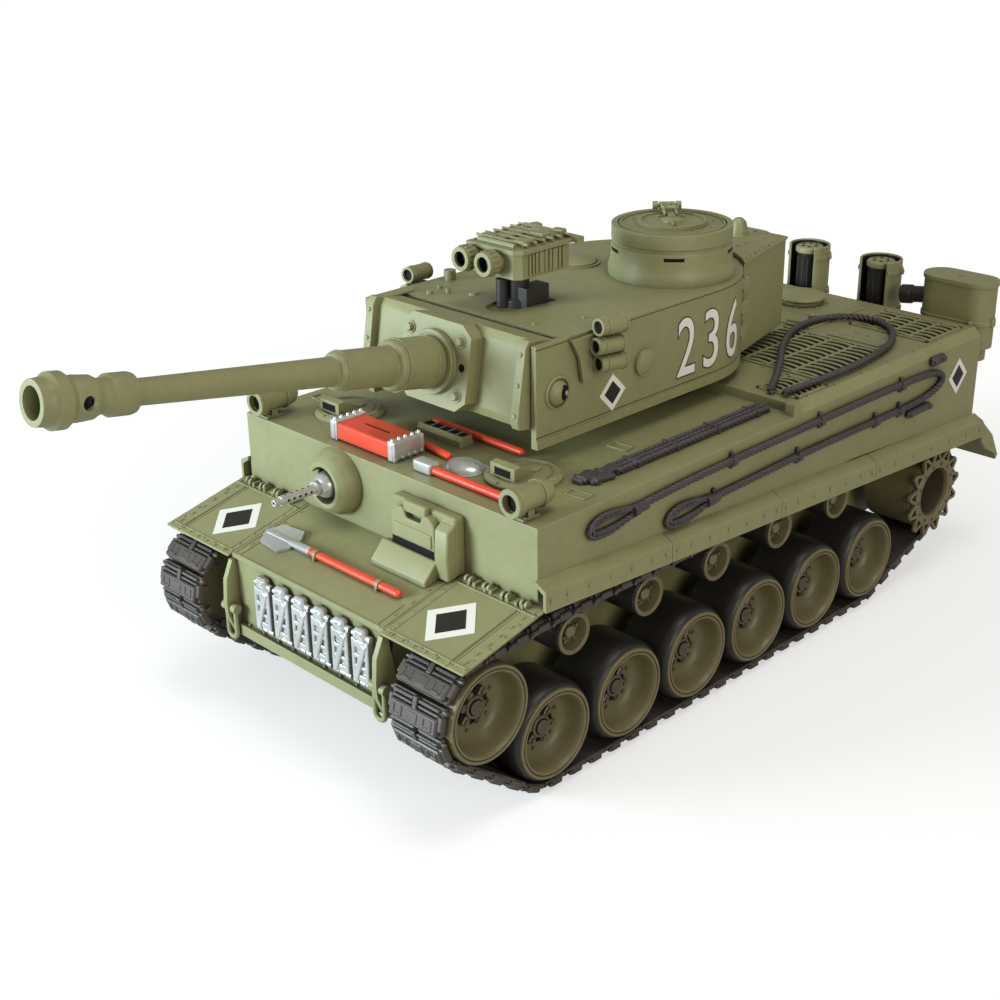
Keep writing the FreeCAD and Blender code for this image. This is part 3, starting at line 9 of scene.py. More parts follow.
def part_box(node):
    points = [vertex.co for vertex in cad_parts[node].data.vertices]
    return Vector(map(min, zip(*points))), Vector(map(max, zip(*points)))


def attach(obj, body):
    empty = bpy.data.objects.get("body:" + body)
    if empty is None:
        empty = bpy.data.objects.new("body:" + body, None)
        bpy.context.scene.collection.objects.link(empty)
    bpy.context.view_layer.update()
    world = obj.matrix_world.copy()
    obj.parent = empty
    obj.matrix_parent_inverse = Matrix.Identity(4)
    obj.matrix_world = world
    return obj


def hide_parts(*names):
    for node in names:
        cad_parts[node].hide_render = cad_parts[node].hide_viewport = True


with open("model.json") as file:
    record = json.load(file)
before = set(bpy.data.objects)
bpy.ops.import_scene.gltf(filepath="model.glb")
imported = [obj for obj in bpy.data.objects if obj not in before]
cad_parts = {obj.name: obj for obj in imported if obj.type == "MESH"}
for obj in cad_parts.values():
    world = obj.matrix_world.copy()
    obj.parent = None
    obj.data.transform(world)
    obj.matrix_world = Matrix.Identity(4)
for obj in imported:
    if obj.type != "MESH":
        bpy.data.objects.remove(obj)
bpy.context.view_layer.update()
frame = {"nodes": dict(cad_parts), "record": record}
MM = 0.001

# ---- Camera and studio ----
# A pale seamless table under a cool soft light from ahead of the tank, with a weak warm one on its left
# side and one overhead. The camera stands at the tank's left front, a little above it.
CAMERA_PLACE = Vector((401.3, -414.1, 316.2)) * MM
CAMERA_AIM = Vector((-52.8, 26.2, 38.7)) * MM
CAMERA_ROLL = math.radians(-0.933)
LENS, SENSOR = 55.78, 36.0

back = (CAMERA_PLACE - CAMERA_AIM).normalized()
across = Vector((0, 0, 1)).cross(back).normalized()
upward = back.cross(across)
turned_across = across * math.cos(CAMERA_ROLL) + upward * math.sin(CAMERA_ROLL)
turned_upward = upward * math.cos(CAMERA_ROLL) - across * math.sin(CAMERA_ROLL)
camera_data = bpy.data.cameras.new("camera")
camera_data.lens = LENS
camera_data.sensor_width = SENSOR
camera = bpy.data.objects.new("camera", camera_data)
camera.matrix_world = Matrix((turned_across, turned_upward, back)).transposed().to_4x4()
camera.location = CAMERA_PLACE
bpy.context.scene.collection.objects.link(camera)
bpy.context.scene.camera = camera


def soft_light(name, place, aim, width, power, colour):
    data = bpy.data.lights.new(name, "AREA")
    data.shape = "DISK"
    data.size = width
    data.energy = power
    data.color = colour
    light = bpy.data.objects.new(name, data)
    light.matrix_world = (place - aim).to_track_quat("Z", "Y").to_matrix().to_4x4()
    light.location = place
    bpy.context.scene.collection.objects.link(light)


tank_middle = Vector((0, 0, 80)) * MM
soft_light("front_softbox", Vector((-0.62, -1.25, 0.32)), tank_middle, 0.6, 28, (0.74, 0.9, 0.95))
soft_light("side_softbox", Vector((1.25, -0.35, 0.55)), tank_middle, 0.8, 6.5, (1.0, 0.93, 0.78))
soft_light("top_softbox", Vector((0.35, 0.0, 1.9)), tank_middle, 1.0, 10.5, (1.0, 0.98, 0.92))

scene = bpy.context.scene
scene.view_settings.view_transform = "Standard"
scene.world = bpy.data.worlds.new("studio")
scene.world.use_nodes = True
WORLD_LIGHT, WORLD_SEEN = 0.29, 1.0


def shader_node(tree, kind, inputs=(), **settings):
    """Adds a shader node, sets its plain settings and fills or links its inputs, given as {socket: value}."""
    node = tree.nodes.new(kind)
    for key, value in settings.items():
        setattr(node, key, value)
    for socket, value in dict(inputs).items():
        if isinstance(value, bpy.types.NodeSocket):
            tree.links.new(value, node.inputs[socket])
        else:
            node.inputs[socket].default_value = value
    return node


sky = scene.world.node_tree
sky_strength = shader_node(sky, "ShaderNodeMapRange", {
    "Value": shader_node(sky, "ShaderNodeLightPath").outputs["Is Camera Ray"],
    "To Min": WORLD_LIGHT, "To Max": WORLD_SEEN})
sky.nodes["Background"].inputs["Color"].default_value = (1.0, 0.99, 0.95, 1)
sky.links.new(sky_strength.outputs[0], sky.nodes["Background"].inputs["Strength"])
floor_paint = bpy.data.materials.new("pale_table")
floor_paint.use_nodes = True
floor_tree = floor_paint.node_tree
floor_shader = floor_tree.nodes["Principled BSDF"]
floor_shader.inputs["Roughness"].default_value = 0.85
floor_shader.inputs["Emission Color"].default_value = (1, 1, 1, 1)
floor_speck = shader_node(floor_tree, "ShaderNodeTexNoise", {"Scale": 40.0, "Detail": 4.0})
floor_tone = shader_node(floor_tree, "ShaderNodeMapRange",
                         {"Value": floor_speck.outputs["Fac"], "To Min": 0.5, "To Max": 0.54})
floor_spot = shader_node(floor_tree, "ShaderNodeTexCoord").outputs["Object"]
floor_reach = shader_node(floor_tree, "ShaderNodeVectorMath", {0: floor_spot}, operation="LENGTH")
# Painted light and shade: the table glows for the camera alone, faintly near the tank so the shade round it
# stays dark, and more strongly far off.
NEAR_GLOW, FAR_GLOW = 0.54, 0.84        # the table looks whiter away from the tank
floor_far = shader_node(floor_tree, "ShaderNodeMapRange", {
    "Value": floor_reach.outputs["Value"], "From Min": 0.22, "From Max": 1.1,
    "To Min": NEAR_GLOW, "To Max": FAR_GLOW})
floor_seen = shader_node(floor_tree, "ShaderNodeLightPath").outputs["Is Camera Ray"]
floor_glow = shader_node(floor_tree, "ShaderNodeMath", {0: floor_far.outputs["Result"], 1: floor_seen},
                         operation="MULTIPLY")
floor_tree.links.new(floor_tone.outputs["Result"], floor_shader.inputs["Base Color"])
floor_tree.links.new(floor_glow.outputs[0], floor_shader.inputs["Emission Strength"])
floor = bmesh.new()
bmesh.ops.create_grid(floor, x_segments=1, y_segments=1, size=6.0)
floor_mesh = bpy.data.meshes.new("table_top")
floor.to_mesh(floor_mesh)
floor_object = bpy.data.objects.new("table_top", floor_mesh)
floor_mesh.materials.append(floor_paint)
bpy.context.scene.collection.objects.link(floor_object)

# ---- Surface of moulded plastic and cast metal ----
# Every moulding has a fine grain from its tool, a slight drift of tone and lighter rubbed edges, and its
# corners and hollows are darkened as painted shade. One node group gives those, and each material sets how
# much of each it shows.
moulded = bpy.data.node_groups.new("moulded_surface", "ShaderNodeTree")
for socket, kind, value in (("Colour", "Color", (0.2, 0.2, 0.1, 1)), ("Rubbed", "Color", (0.4, 0.4, 0.3, 1)),
                            ("Shade colour", "Color", (0.05, 0.05, 0.03, 1)), ("Drift", "Float", 0.15),
                            ("Rub", "Float", 0.3), ("Dirt", "Float", 0.4), ("Gloss", "Float", 0.5),
                            ("Grain", "Float", 0.1), ("Grain size", "Float", 1800.0),
                            ("Soft edge", "Float", 0.0003)):
    moulded.interface.new_socket(socket, in_out="INPUT",
                                 socket_type="NodeSocket" + kind).default_value = value
for socket, kind in (("Colour", "Color"), ("Roughness", "Float"), ("Normal", "Vector")):
    moulded.interface.new_socket(socket, in_out="OUTPUT", socket_type="NodeSocket" + kind)
group_in = moulded.nodes.new("NodeGroupInput").outputs
group_out = moulded.nodes.new("NodeGroupOutput").inputs
place = shader_node(moulded, "ShaderNodeTexCoord").outputs["Object"]
patches = shader_node(moulded, "ShaderNodeTexNoise", {"Vector": place, "Scale": 34.0, "Detail": 5.0})
streaks = shader_node(moulded, "ShaderNodeTexNoise", {"Vector": place, "Scale": 260.0, "Detail": 3.0})
grain = shader_node(moulded, "ShaderNodeTexNoise", {"Vector": place, "Scale": group_in["Grain size"],
                                                   "Detail": 2.0})
drift = shader_node(moulded, "ShaderNodeMath", {0: patches.outputs["Fac"], 1: streaks.outputs["Fac"]},
                    operation="ADD")
drift = shader_node(moulded, "ShaderNodeMath", {0: drift.outputs[0], 1: 1.0}, operation="SUBTRACT")
drift = shader_node(moulded, "ShaderNodeMath", {0: drift.outputs[0], 1: group_in["Drift"], 2: 1.0},
                    operation="MULTIPLY_ADD")
toned = shader_node(moulded, "ShaderNodeVectorMath", {0: group_in["Colour"], 3: drift.outputs[0]},
                    operation="SCALE")
rounded = shader_node(moulded, "ShaderNodeBevel", {"Radius": group_in["Soft edge"]}, samples=4)
wide_edge = shader_node(moulded, "ShaderNodeBevel", {"Radius": 0.0009}, samples=4)
facing = shader_node(moulded, "ShaderNodeNewGeometry").outputs["Normal"]
edge = shader_node(moulded, "ShaderNodeVectorMath", {0: wide_edge.outputs[0], 1: facing},
                   operation="DOT_PRODUCT")
edge = shader_node(moulded, "ShaderNodeMapRange", {"Value": edge.outputs["Value"], "From Min": 0.995,
                                                  "From Max": 0.86})
edge = shader_node(moulded, "ShaderNodeMath", {0: edge.outputs[0], 1: streaks.outputs["Fac"]},
                   operation="MULTIPLY")
rub = shader_node(moulded, "ShaderNodeMath", {0: edge.outputs[0], 1: group_in["Rub"]}, operation="MULTIPLY")
rubbed = shader_node(moulded, "ShaderNodeMix",
                     {0: rub.outputs[0], 6: toned.outputs[0], 7: group_in["Rubbed"]},
                     data_type="RGBA")
# Painted shade: an occlusion mask pulls the colour towards the shade colour in corners, creases and hollows.
hollow = shader_node(moulded, "ShaderNodeAmbientOcclusion", {"Distance": 0.009}, samples=4)
dirt = shader_node(moulded, "ShaderNodeMapRange", {"Value": hollow.outputs["AO"], "From Min": 0.85,
                                                  "From Max": 0.15, "To Max": group_in["Dirt"]})
shaded_in_hollows = shader_node(moulded, "ShaderNodeMix",
                    {0: dirt.outputs[0], 6: rubbed.outputs[2], 7: group_in["Shade colour"]},
                    data_type="RGBA")
moulded.links.new(shaded_in_hollows.outputs[2], group_out["Colour"])
gloss = shader_node(moulded, "ShaderNodeMath", {0: patches.outputs["Fac"], 1: 0.22, 2: group_in["Gloss"]},
                    operation="MULTIPLY_ADD")
gloss = shader_node(moulded, "ShaderNodeMath", {0: gloss.outputs[0], 1: 0.11}, operation="SUBTRACT")
moulded.links.new(gloss.outputs[0], group_out["Roughness"])
relief = shader_node(moulded, "ShaderNodeBump",
                     {"Height": grain.outputs["Fac"], "Strength": group_in["Grain"],
                                                "Distance": 0.0003, "Normal": rounded.outputs[0]})
moulded.links.new(relief.outputs[0], group_out["Normal"])


def finish_material(name, colour, rubbed_colour, shade_colour, metallic=0.0, **amounts):
    """A material of the moulded surface; amounts name the group's other inputs."""
    material = bpy.data.materials.new(name)
    material.use_nodes = True
    tree = material.node_tree
    shader = tree.nodes["Principled BSDF"]
    surface = tree.nodes.new("ShaderNodeGroup")
    surface.node_tree = moulded
    for socket, value in (("Colour", colour), ("Rubbed", rubbed_colour), ("Shade colour", shade_colour)):
        surface.inputs[socket].default_value = (*value, 1)
    for socket, value in amounts.items():
        surface.inputs[socket.replace("_", " ").capitalize()].default_value = value
    tree.links.new(surface.outputs["Colour"], shader.inputs["Base Color"])
    tree.links.new(surface.outputs["Roughness"], shader.inputs["Roughness"])
    tree.links.new(surface.outputs["Normal"], shader.inputs["Normal"])
    shader.inputs["Metallic"].default_value = metallic
    return material


olive = finish_material("olive_plastic", (0.262, 0.255, 0.124), (0.45, 0.44, 0.27), (0.05, 0.045, 0.02),
                        drift=0.22, rub=0.55, dirt=0.7, gloss=0.46, grain=0.12)

# ---- Lower hull ----
# The tub that holds the gearboxes and the battery, moulded in one piece with the wheel bosses. Its mesh is
# the model's own, welded, with every sharp edge slightly rounded as it leaves the mould.
own_body = {node: body for body, nodes in frame["record"]["behaviour"]["bodies"].items() for node in nodes}
OLIVE_SLOT = "olive_plastic"


def finished_piece(name, bm, material, body, slot, nodes=(), soft_edge=0.0, sharp=32):
    """Makes the piece of a bmesh: smooth shading between sharp edges, one material and its body; slot is not
    used.
    """
    for face in bm.faces:
        face.smooth = True
    for crease in bm.edges:
        crease.smooth = crease.calc_face_angle(0.0) < math.radians(sharp)
    mesh = bpy.data.meshes.new(name)
    bm.to_mesh(mesh)
    bm.free()
    mesh.materials.clear()
    mesh.materials.append(material)
    made = bpy.data.objects.new(name, mesh)
    bpy.context.scene.collection.objects.link(made)
    if soft_edge:
        rounding = made.modifiers.new("soft_edges", "BEVEL")
        rounding.width = soft_edge
        rounding.segments = 2
        rounding.limit_method = "ANGLE"
        rounding.angle_limit = math.radians(sharp)
        rounding.harden_normals = True
        rounding.use_clamp_overlap = True
    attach(made, body)
    if nodes:
        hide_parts(*nodes)
    return made


def welded(node):
    """A copy of a node's mesh with its loose triangles joined and its flat faces made whole."""
    bm = bmesh.new()
    bm.from_mesh(frame["nodes"][node].data)
    bmesh.ops.remove_doubles(bm, verts=bm.verts, dist=0.004 * MM)
    bmesh.ops.dissolve_limit(bm, angle_limit=math.radians(0.4), verts=bm.verts, edges=bm.edges)
    return bm


def refined(node, material, slot=OLIVE_SLOT, soft_edge=0.2 * MM):
    return finished_piece(node + "_moulding", welded(node), material, own_body[node], slot, [node], soft_edge)


refined("lower_hull", olive)
AHEAD = 26.2            # the middle of the running gear stands this far behind the origin

# ---- Road wheels ----
# Six pairs of deep dished wheels, each a moulded rim with a bolted hub and a wide rubber tyre pressed on.
# Each turns on a stub axle and is kept on by the axle's cap.
wheel_khaki = finish_material("wheel_plastic", (0.17, 0.145, 0.07), (0.3, 0.27, 0.16), (0.03, 0.026, 0.015),
                              drift=0.25, rub=0.4, dirt=0.85, gloss=0.4, grain=0.08)
rubber = finish_material("track_rubber", (0.024, 0.021, 0.019), (0.07, 0.062, 0.055), (0.01, 0.009, 0.008),
                         drift=0.4, rub=0.4, dirt=0.6, gloss=0.36, grain=0.2)
hub_brown = finish_material("hub_plastic", (0.085, 0.062, 0.042), (0.32, 0.26, 0.18), (0.015, 0.012, 0.01),
                            drift=0.3, rub=0.8, dirt=0.8, gloss=0.33, grain=0.08)
WHEEL_SLOT, RUBBER_SLOT = "wheel_plastic", "track_rubber"
ROUND_STEPS = 72


def lathe(bm, outline, centre, axis, radial, steps=ROUND_STEPS, closed=True):
    """Spins an outline of (radius, along the axis) points; open outlines start and end on the axis."""
    corners = [bm.verts.new(centre + radial * (radius * MM) + axis * (along * MM))
               for radius, along in outline]
    pairs = list(zip(corners, corners[1:] + corners[:1])) if closed else list(zip(corners, corners[1:]))
    edges = [bm.edges.new(pair) for pair in pairs]
    made = bmesh.ops.spin(bm, geom=corners + edges, cent=centre, axis=axis, angle=2 * math.pi, steps=steps,
                          use_merge=True)
    bmesh.ops.remove_doubles(bm, verts=bm.verts, dist=0.001 * MM)
    return made


def block(bm, low, high, turn=None, chamfer=0.0):
    """A box between two corners given in millimetres, then moved by the matrix turn."""
    low, high = Vector(low) * MM, Vector(high) * MM
    spot = Matrix.Translation((low + high) / 2) @ Matrix.Diagonal((*(high - low), 1))
    verts = bmesh.ops.create_cube(bm, size=1.0, matrix=(turn or Matrix()) @ spot)["verts"]
    if chamfer:
        rims = {rim for vert in verts for rim in vert.link_edges}
        bmesh.ops.bevel(bm, geom=list(rims), offset=chamfer * MM, segments=1, profile=0.5, affect="EDGES",
                        material=-1)
    return verts


def peg(bm, start, end, radius, steps=12, tip=None, turn=None):
    """A round peg between two points in millimetres; tip is its other radius where it tapers."""
    start, end = Vector(start) * MM, Vector(end) * MM
    lean = (end - start).to_track_quat("Z", "Y").to_matrix().to_4x4()
    spot = Matrix.Translation((start + end) / 2) @ lean
    bmesh.ops.create_cone(bm, cap_ends=True, segments=steps, radius1=radius * MM,
                          radius2=(radius if tip is None else tip) * MM, depth=(end - start).length,
                          matrix=(turn or Matrix()) @ spot)


def outward(bm):
    bmesh.ops.recalc_face_normals(bm, faces=bm.faces)
    return bm


def mm_box(node):
    """Low and high corners of a node in millimetres."""
    low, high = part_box(node)
    return low / MM, high / MM


def middle_of(node):
    low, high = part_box(node)
    return (low + high) / 2


X, Y, Z = Vector((1, 0, 0)), Vector((0, 1, 0)), Vector((0, 0, 1))
wheel_low, wheel_high = mm_box("road_wheel_left_1")
WHEEL_IN, WHEEL_OUT = wheel_low.x, wheel_high.x         # inner and outer faces of the rims
TYRE_R = (wheel_high.z - wheel_low.z) / 2
LIP_R = TYRE_R - 2.0
BOLTS = 6


def dished_wheel(node, lip_r, side):
    """Rim and hub of one wheel. side is 1 on the tank's left and -1 on its right."""
    centre = middle_of(node)
    centre.x = 0
    face = WHEEL_OUT
    rim = bmesh.new()
    lathe(rim, [(1.6, WHEEL_IN + 1), (lip_r, WHEEL_IN + 1), (lip_r, face - 0.5), (lip_r - 0.2, face - 0.1),
                (lip_r - 0.5, face), (lip_r - 1.0, face), (lip_r - 1.2, face - 0.2),
                (lip_r - 1.3, face - 0.7),
                (lip_r - 1.6, face - 0.7), (lip_r - 1.7, face - 0.2), (lip_r - 1.9, face - 0.1),
                (lip_r - 2.3, face - 0.15), (lip_r - 2.6, face - 0.5), (lip_r - 3.0, face - 2.2),
                (lip_r - 3.4, face - 5.0), (lip_r - 4.2, face - 7.4), (lip_r - 5.4, face - 9.0),
                (lip_r - 7.0, face - 9.8), (7.6, face - 9.9), (7.6, face - 11), (2.4, face - 11),
                (2.4, face - 8), (1.6, face - 8)], centre, X, Z)
    hub = bmesh.new()
    lathe(hub, [(1.7, face - 9.9), (4.3, face - 9.9), (4.3, face - 7.6), (4.0, face - 7.2), (3.2, face - 7.2),
                (3.0, face - 7.6), (3.0, face - 8.2), (1.7, face - 8.2)], centre, X, Z, steps=24)
    for index in range(BOLTS):
        turn = Matrix.Translation(centre) @ Matrix.Rotation(2 * math.pi * (index + 0.3) / BOLTS, 4, "X")
        block(hub, (face - 10.6, -1.3, 3.6), (face - 7.9, 1.3, 7.4), turn, 0.35)
        peg(hub, (face - 8.4, 0, 5.9), (face - 7.1, 0, 5.9), 0.95, steps=6, turn=turn)
        peg(hub, (face - 10.4, 0, 9.3), (face - 9.3, 0, 9.3), 0.75, steps=6,
            turn=turn @ Matrix.Rotation(math.pi / BOLTS, 4, "X"))
    for bm in (rim, hub):
        if side < 0:
            bmesh.ops.scale(bm, vec=(-1, 1, 1), verts=bm.verts)
        outward(bm)
    finished_piece(node + "_rim", rim, wheel_khaki, own_body[node], WHEEL_SLOT, [node])
    finished_piece(node + "_hub", hub, hub_brown, own_body[node], WHEEL_SLOT, soft_edge=0.08 * MM)
    return centre


for node in sorted(frame["nodes"]):
    if not node.startswith("road_wheel"):
        continue
    side = 1 if "left" in node else -1
    centre = dished_wheel(node, LIP_R, side)
    tyre = bmesh.new()
    outline = [(LIP_R - 0.3, WHEEL_IN), (TYRE_R - 1.2, WHEEL_IN), (TYRE_R - 0.3, WHEEL_IN + 0.4),
               (TYRE_R, WHEEL_IN + 1.2), (TYRE_R, WHEEL_OUT - 4.8), (TYRE_R - 0.1, WHEEL_OUT - 4.2),
               (TYRE_R - 0.4, WHEEL_OUT - 3.4), (TYRE_R - 0.7, WHEEL_OUT - 2.4),
               (TYRE_R - 1.2, WHEEL_OUT - 1.5),
               (TYRE_R - 1.7, WHEEL_OUT - 1.0), (LIP_R - 0.3, WHEEL_OUT - 0.9)]
    lathe(tyre, outline, centre, X, Z)
    if side < 0:
        bmesh.ops.scale(tyre, vec=(-1, 1, 1), verts=tyre.verts)
    finished_piece(node + "_tyre", outward(tyre), rubber, own_body[node], RUBBER_SLOT)

# ---- Idler wheels ----
# A plain dished wheel at the front of each track, moulded like the road wheels but without a tyre.
for node, side in (("idler_wheel_left", 1), ("idler_wheel_right", -1)):
    low, high = mm_box(node)
    dished_wheel(node, (high.z - low.z) / 2, side)

# ---- Drive sprockets ----
# Open drums with an outer ring of pointed teeth, each two legs round a three-cornered window. They are
# moulded in the wheels' plastic and pressed on to the gearboxes' shafts.
TEETH = 13
TOOTH_ROOT, TOOTH_TIP = 14.2, 20.3
for node, side in (("sprocket_left", 1), ("sprocket_right", -1)):
    centre = middle_of(node)
    centre.x = 0
    drum, dark_parts = bmesh.new(), bmesh.new()
    lathe(drum, [(2.6, 58), (17, 58), (17, 80.8), (15.6, 80.8), (15.6, 81.2), (15.2, 81.4), (15.2, 82.9),
                 (14.9, 83.2),
                 (11.6, 83.2), (11.2, 82.9), (10.9, 82.0), (10.6, 68.0), (9.8, 66.6), (8.6, 66), (2.6, 66)],
          centre, X, Z)
    for index in range(TEETH):
        turn = Matrix.Translation(centre) @ Matrix.Rotation(2 * math.pi * index / TEETH, 4, "X")
        for way in (-1, 1):
            foot = Vector((0, way * 3.1, TOOTH_ROOT))
            tip = Vector((0, way * 0.5, TOOTH_TIP - 0.4))
            lean = math.atan2(foot.y - tip.y, tip.z - foot.z)
            leg = turn @ Matrix.Translation(foot * MM) @ Matrix.Rotation(lean, 4, "X")
            block(drum, (81.3, -0.75, -0.6), (83.1, 0.75, (tip - foot).length), leg, 0.25)
        block(drum, (81.3, -0.8, TOOTH_TIP - 1.6), (83.1, 0.8, TOOTH_TIP), turn, 0.3)
        peg(dark_parts, (82.8, 0, 13.1), (83.6, 0, 13.1), 0.75, steps=6,
            turn=turn @ Matrix.Rotation(math.pi / TEETH, 4, "X"))
    lathe(dark_parts, [(1.2, 65.8), (4.6, 65.8), (4.6, 70.6), (4.0, 71.2), (2.4, 71.2), (2.2, 70.4),
                       (1.2, 70.4)],
          centre, X, Z, 24)
    for index in range(8):
        turn = Matrix.Translation(centre) @ Matrix.Rotation(2 * math.pi * index / 8, 4, "X")
        peg(dark_parts, (65.8, 0, 7.2), (67.2, 0, 7.2), 0.8, steps=6, turn=turn)
    lathe(dark_parts, [(10.85, 81.5), (10.5, 67.7), (9.6, 66.8), (8.6, 66.3), (2.7, 66.3), (2.7, 66.5),
                       (8.5, 66.5), (9.4, 67.1), (10.2, 68.0), (10.55, 81.5)], centre, X, Z)
    peg(dark_parts, (46, centre.y / MM, centre.z / MM), (70.9, centre.y / MM, centre.z / MM), 2.0, 20)
    for bm in (drum, dark_parts):
        if side < 0:
            bmesh.ops.scale(bm, vec=(-1, 1, 1), verts=bm.verts)
        outward(bm)
    finished_piece(node + "_drum", drum, wheel_khaki, own_body[node], WHEEL_SLOT, [node], soft_edge=0.08 * MM)
    finished_piece(node + "_bolts", dark_parts, hub_brown, own_body[node], WHEEL_SLOT)

# ---- Return rollers ----
# Small rubber-tyred wheels that carry the track's upper run, in pairs on through axles.
for index in range(1, 6):
    node = "return_rollers_%d" % index
    centre = middle_of(node)
    centre.x = 0
    roller_r = (mm_box(node)[1].z - mm_box(node)[0].z) / 2
    rims, tyres = bmesh.new(), bmesh.new()
    lathe(rims, [(0, 60.2), (1.5, 60.2), (1.5, 62), (7.0, 62), (7.0, 78.6), (roller_r - 0.2, 78.6),
                 (roller_r - 0.2, 79.1), (roller_r - 0.5, 79.4), (roller_r - 1.0, 79.4),
                 (roller_r - 1.2, 79.1),
                 (roller_r - 1.4, 79.2), (roller_r - 1.8, 79.0), (roller_r - 2.2, 77.2),
                 (roller_r - 3.0, 75.4),
                 (roller_r - 4.0, 74.8), (2.4, 74.6), (2.3, 77.0), (1.9, 77.4), (0, 77.4)],
          centre, X, Z, 40, closed=False)
    for bolt in range(5):
        turn = Matrix.Translation(centre) @ Matrix.Rotation(2 * math.pi * bolt / 5, 4, "X")
        block(rims, (73.6, -0.5, 2.2), (76.0, 0.5, 4.6), turn, 0.2)
        peg(rims, (74.2, 0, 3.9), (76.8, 0, 3.9), 0.6, steps=6, turn=turn)
    lathe(tyres, [(6.9, 62), (roller_r - 0.6, 62), (roller_r, 62.6), (roller_r, 77.6), (roller_r - 0.3, 78.2),
                  (roller_r - 0.6, 78.4), (6.9, 78.4)], centre, X, Z, 40)
    for bm in (rims, tyres):
        outward(bm)
        bmesh.ops.mirror(bm, geom=bm.verts[:] + bm.edges[:] + bm.faces[:], matrix=Matrix(), merge_dist=-1,
                         axis="X")
    peg(rims, (-60.4, centre.y / MM, centre.z / MM), (60.4, centre.y / MM, centre.z / MM), 1.45, steps=20)
    finished_piece(node + "_rims", outward(rims), wheel_khaki, own_body[node], WHEEL_SLOT, [node])
    finished_piece(node + "_tyres", outward(tyres), rubber, own_body[node], RUBBER_SLOT)

# ---- Tracks ----
# Two belts of black-brown rubber moulded as jointed links: a wide tread plate, two thin bars, a centre
# hinge and a lug at each end, one after another round the wheels.
track_brown = finish_material("track_brown_rubber", (0.07, 0.056, 0.05), (0.2, 0.175, 0.16),
                              (0.014, 0.012, 0.01), drift=0.3, rub=0.5, dirt=0.85, gloss=0.42, grain=0.3)
TRACK_IN, TRACK_OUT = (corner.x for corner in mm_box("track_left"))
TRACK_GAP = 0.35
LINK_PITCH = 10.5


def wheel_circle(node, spare=TRACK_GAP):
    """(y, z, radius) in millimetres of a wheel's rolling surface, with the track's clearance."""
    low, high = mm_box(node)
    return (low.y + high.y) / 2, (low.z + high.z) / 2, (high.z - low.z) / 2 + spare


DRUM_UNDER_TEETH = 20.5 - 17.0
track_circles = [wheel_circle("idler_wheel_left"), wheel_circle("return_rollers_1"),
                 wheel_circle("return_rollers_5"),
                 wheel_circle("sprocket_left", TRACK_GAP - DRUM_UNDER_TEETH),
                 wheel_circle("road_wheel_left_6"),
                 wheel_circle("road_wheel_left_1")]


def track_line():
    """The line the links follow: straight runs between the wheels and an arc round each, clockwise."""
    runs = []
    for (y1, z1, r1), (y2, z2, r2) in zip(track_circles, track_circles[1:] + track_circles[:1]):
        heading = math.atan2(z2 - z1, y2 - y1) + math.acos((r1 - r2) / math.hypot(y2 - y1, z2 - z1))
        out = Vector((0, math.cos(heading), math.sin(heading)))
        runs.append((Vector((0, y1, z1)) + out * r1, Vector((0, y2, z2)) + out * r2, heading))
    for index, (y, z, r) in enumerate(track_circles):
        turn = (runs[index - 1][2] - runs[index][2]) % (2 * math.pi)
        yield "arc", r * turn, (Vector((0, y, z)), r, runs[index - 1][2])
        yield "run", (runs[index][1] - runs[index][0]).length, runs[index]


def link_places():
    """A matrix for each link: along the belt is Y, out of it is Z."""
    line = list(track_line())
    whole = sum(length for kind, length, data in line)
    count = round(whole / LINK_PITCH)
    for index in range(count):
        left = whole * index / count
        for kind, length, data in line:
            if left <= length:
                break
            left -= length
        if kind == "arc":
            middle, r, heading = data
            heading -= left / r
            spot = middle + Vector((0, math.cos(heading), math.sin(heading))) * r
        else:
            spot = data[0].lerp(data[1], left / length)
            heading = data[2]
        yield Matrix.Translation(spot * MM) @ Matrix.Rotation(heading - math.pi / 2, 4, "X")


link = bmesh.new()
half = LINK_PITCH / 2
width = TRACK_OUT - TRACK_IN
block(link, (TRACK_IN + 0.6, -half + 0.1, 0), (TRACK_OUT - 0.6, half - 0.1, 1.9), chamfer=0.3)
block(link, (TRACK_IN + 1.6, -half + 0.35, 1.5), (TRACK_OUT - 1.6, 1.2, 4.0), chamfer=0.55)
for near, far in ((3.4, 8.2), (width - 8.2, width - 3.4)):
    block(link, (TRACK_IN + near, -half + 1.5, 3.8), (TRACK_IN + near + 1.1, -0.2, 4.35), chamfer=0.2)
    block(link, (TRACK_IN + far - 1.1, -half + 1.5, 3.8), (TRACK_IN + far, -0.2, 4.35), chamfer=0.2)
    block(link, (TRACK_IN + near, -half + 1.5, 3.8), (TRACK_IN + far, -half + 2.3, 4.35), chamfer=0.2)
block(link, (TRACK_IN + width / 2 - 2.6, -half + 1.4, 3.8), (TRACK_IN + width / 2 + 2.6, -0.1, 4.3),
      chamfer=0.25)
for low, high in ((1.9, width / 2 - 1.4), (width / 2 + 1.4, width - 1.9)):
    block(link, (TRACK_IN + low, 1.6, 1.5), (TRACK_IN + high, 2.7, 3.3), chamfer=0.25)
    block(link, (TRACK_IN + low, 3.4, 1.5), (TRACK_IN + high, 4.6, 3.3), chamfer=0.25)
block(link, (TRACK_IN + width / 2 - 1.1, 1.0, 1.5), (TRACK_IN + width / 2 + 1.1, half, 3.7), chamfer=0.3)
for x in (TRACK_IN, TRACK_OUT - 2.4):
    block(link, (x, -2.9, 0.4), (x + 2.4, 2.2, 3.1), chamfer=0.4)
    peg(link, (x - 0.5, 3.6, 1.3), (x + 2.9, 3.6, 1.3), 0.75, steps=8)
block(link, (TRACK_IN + 1.0, -1.4, -3.2), (TRACK_IN + 3.2, 1.4, 0.4), chamfer=0.5)
link_mesh = bpy.data.meshes.new("track_link")
outward(link).to_mesh(link_mesh)
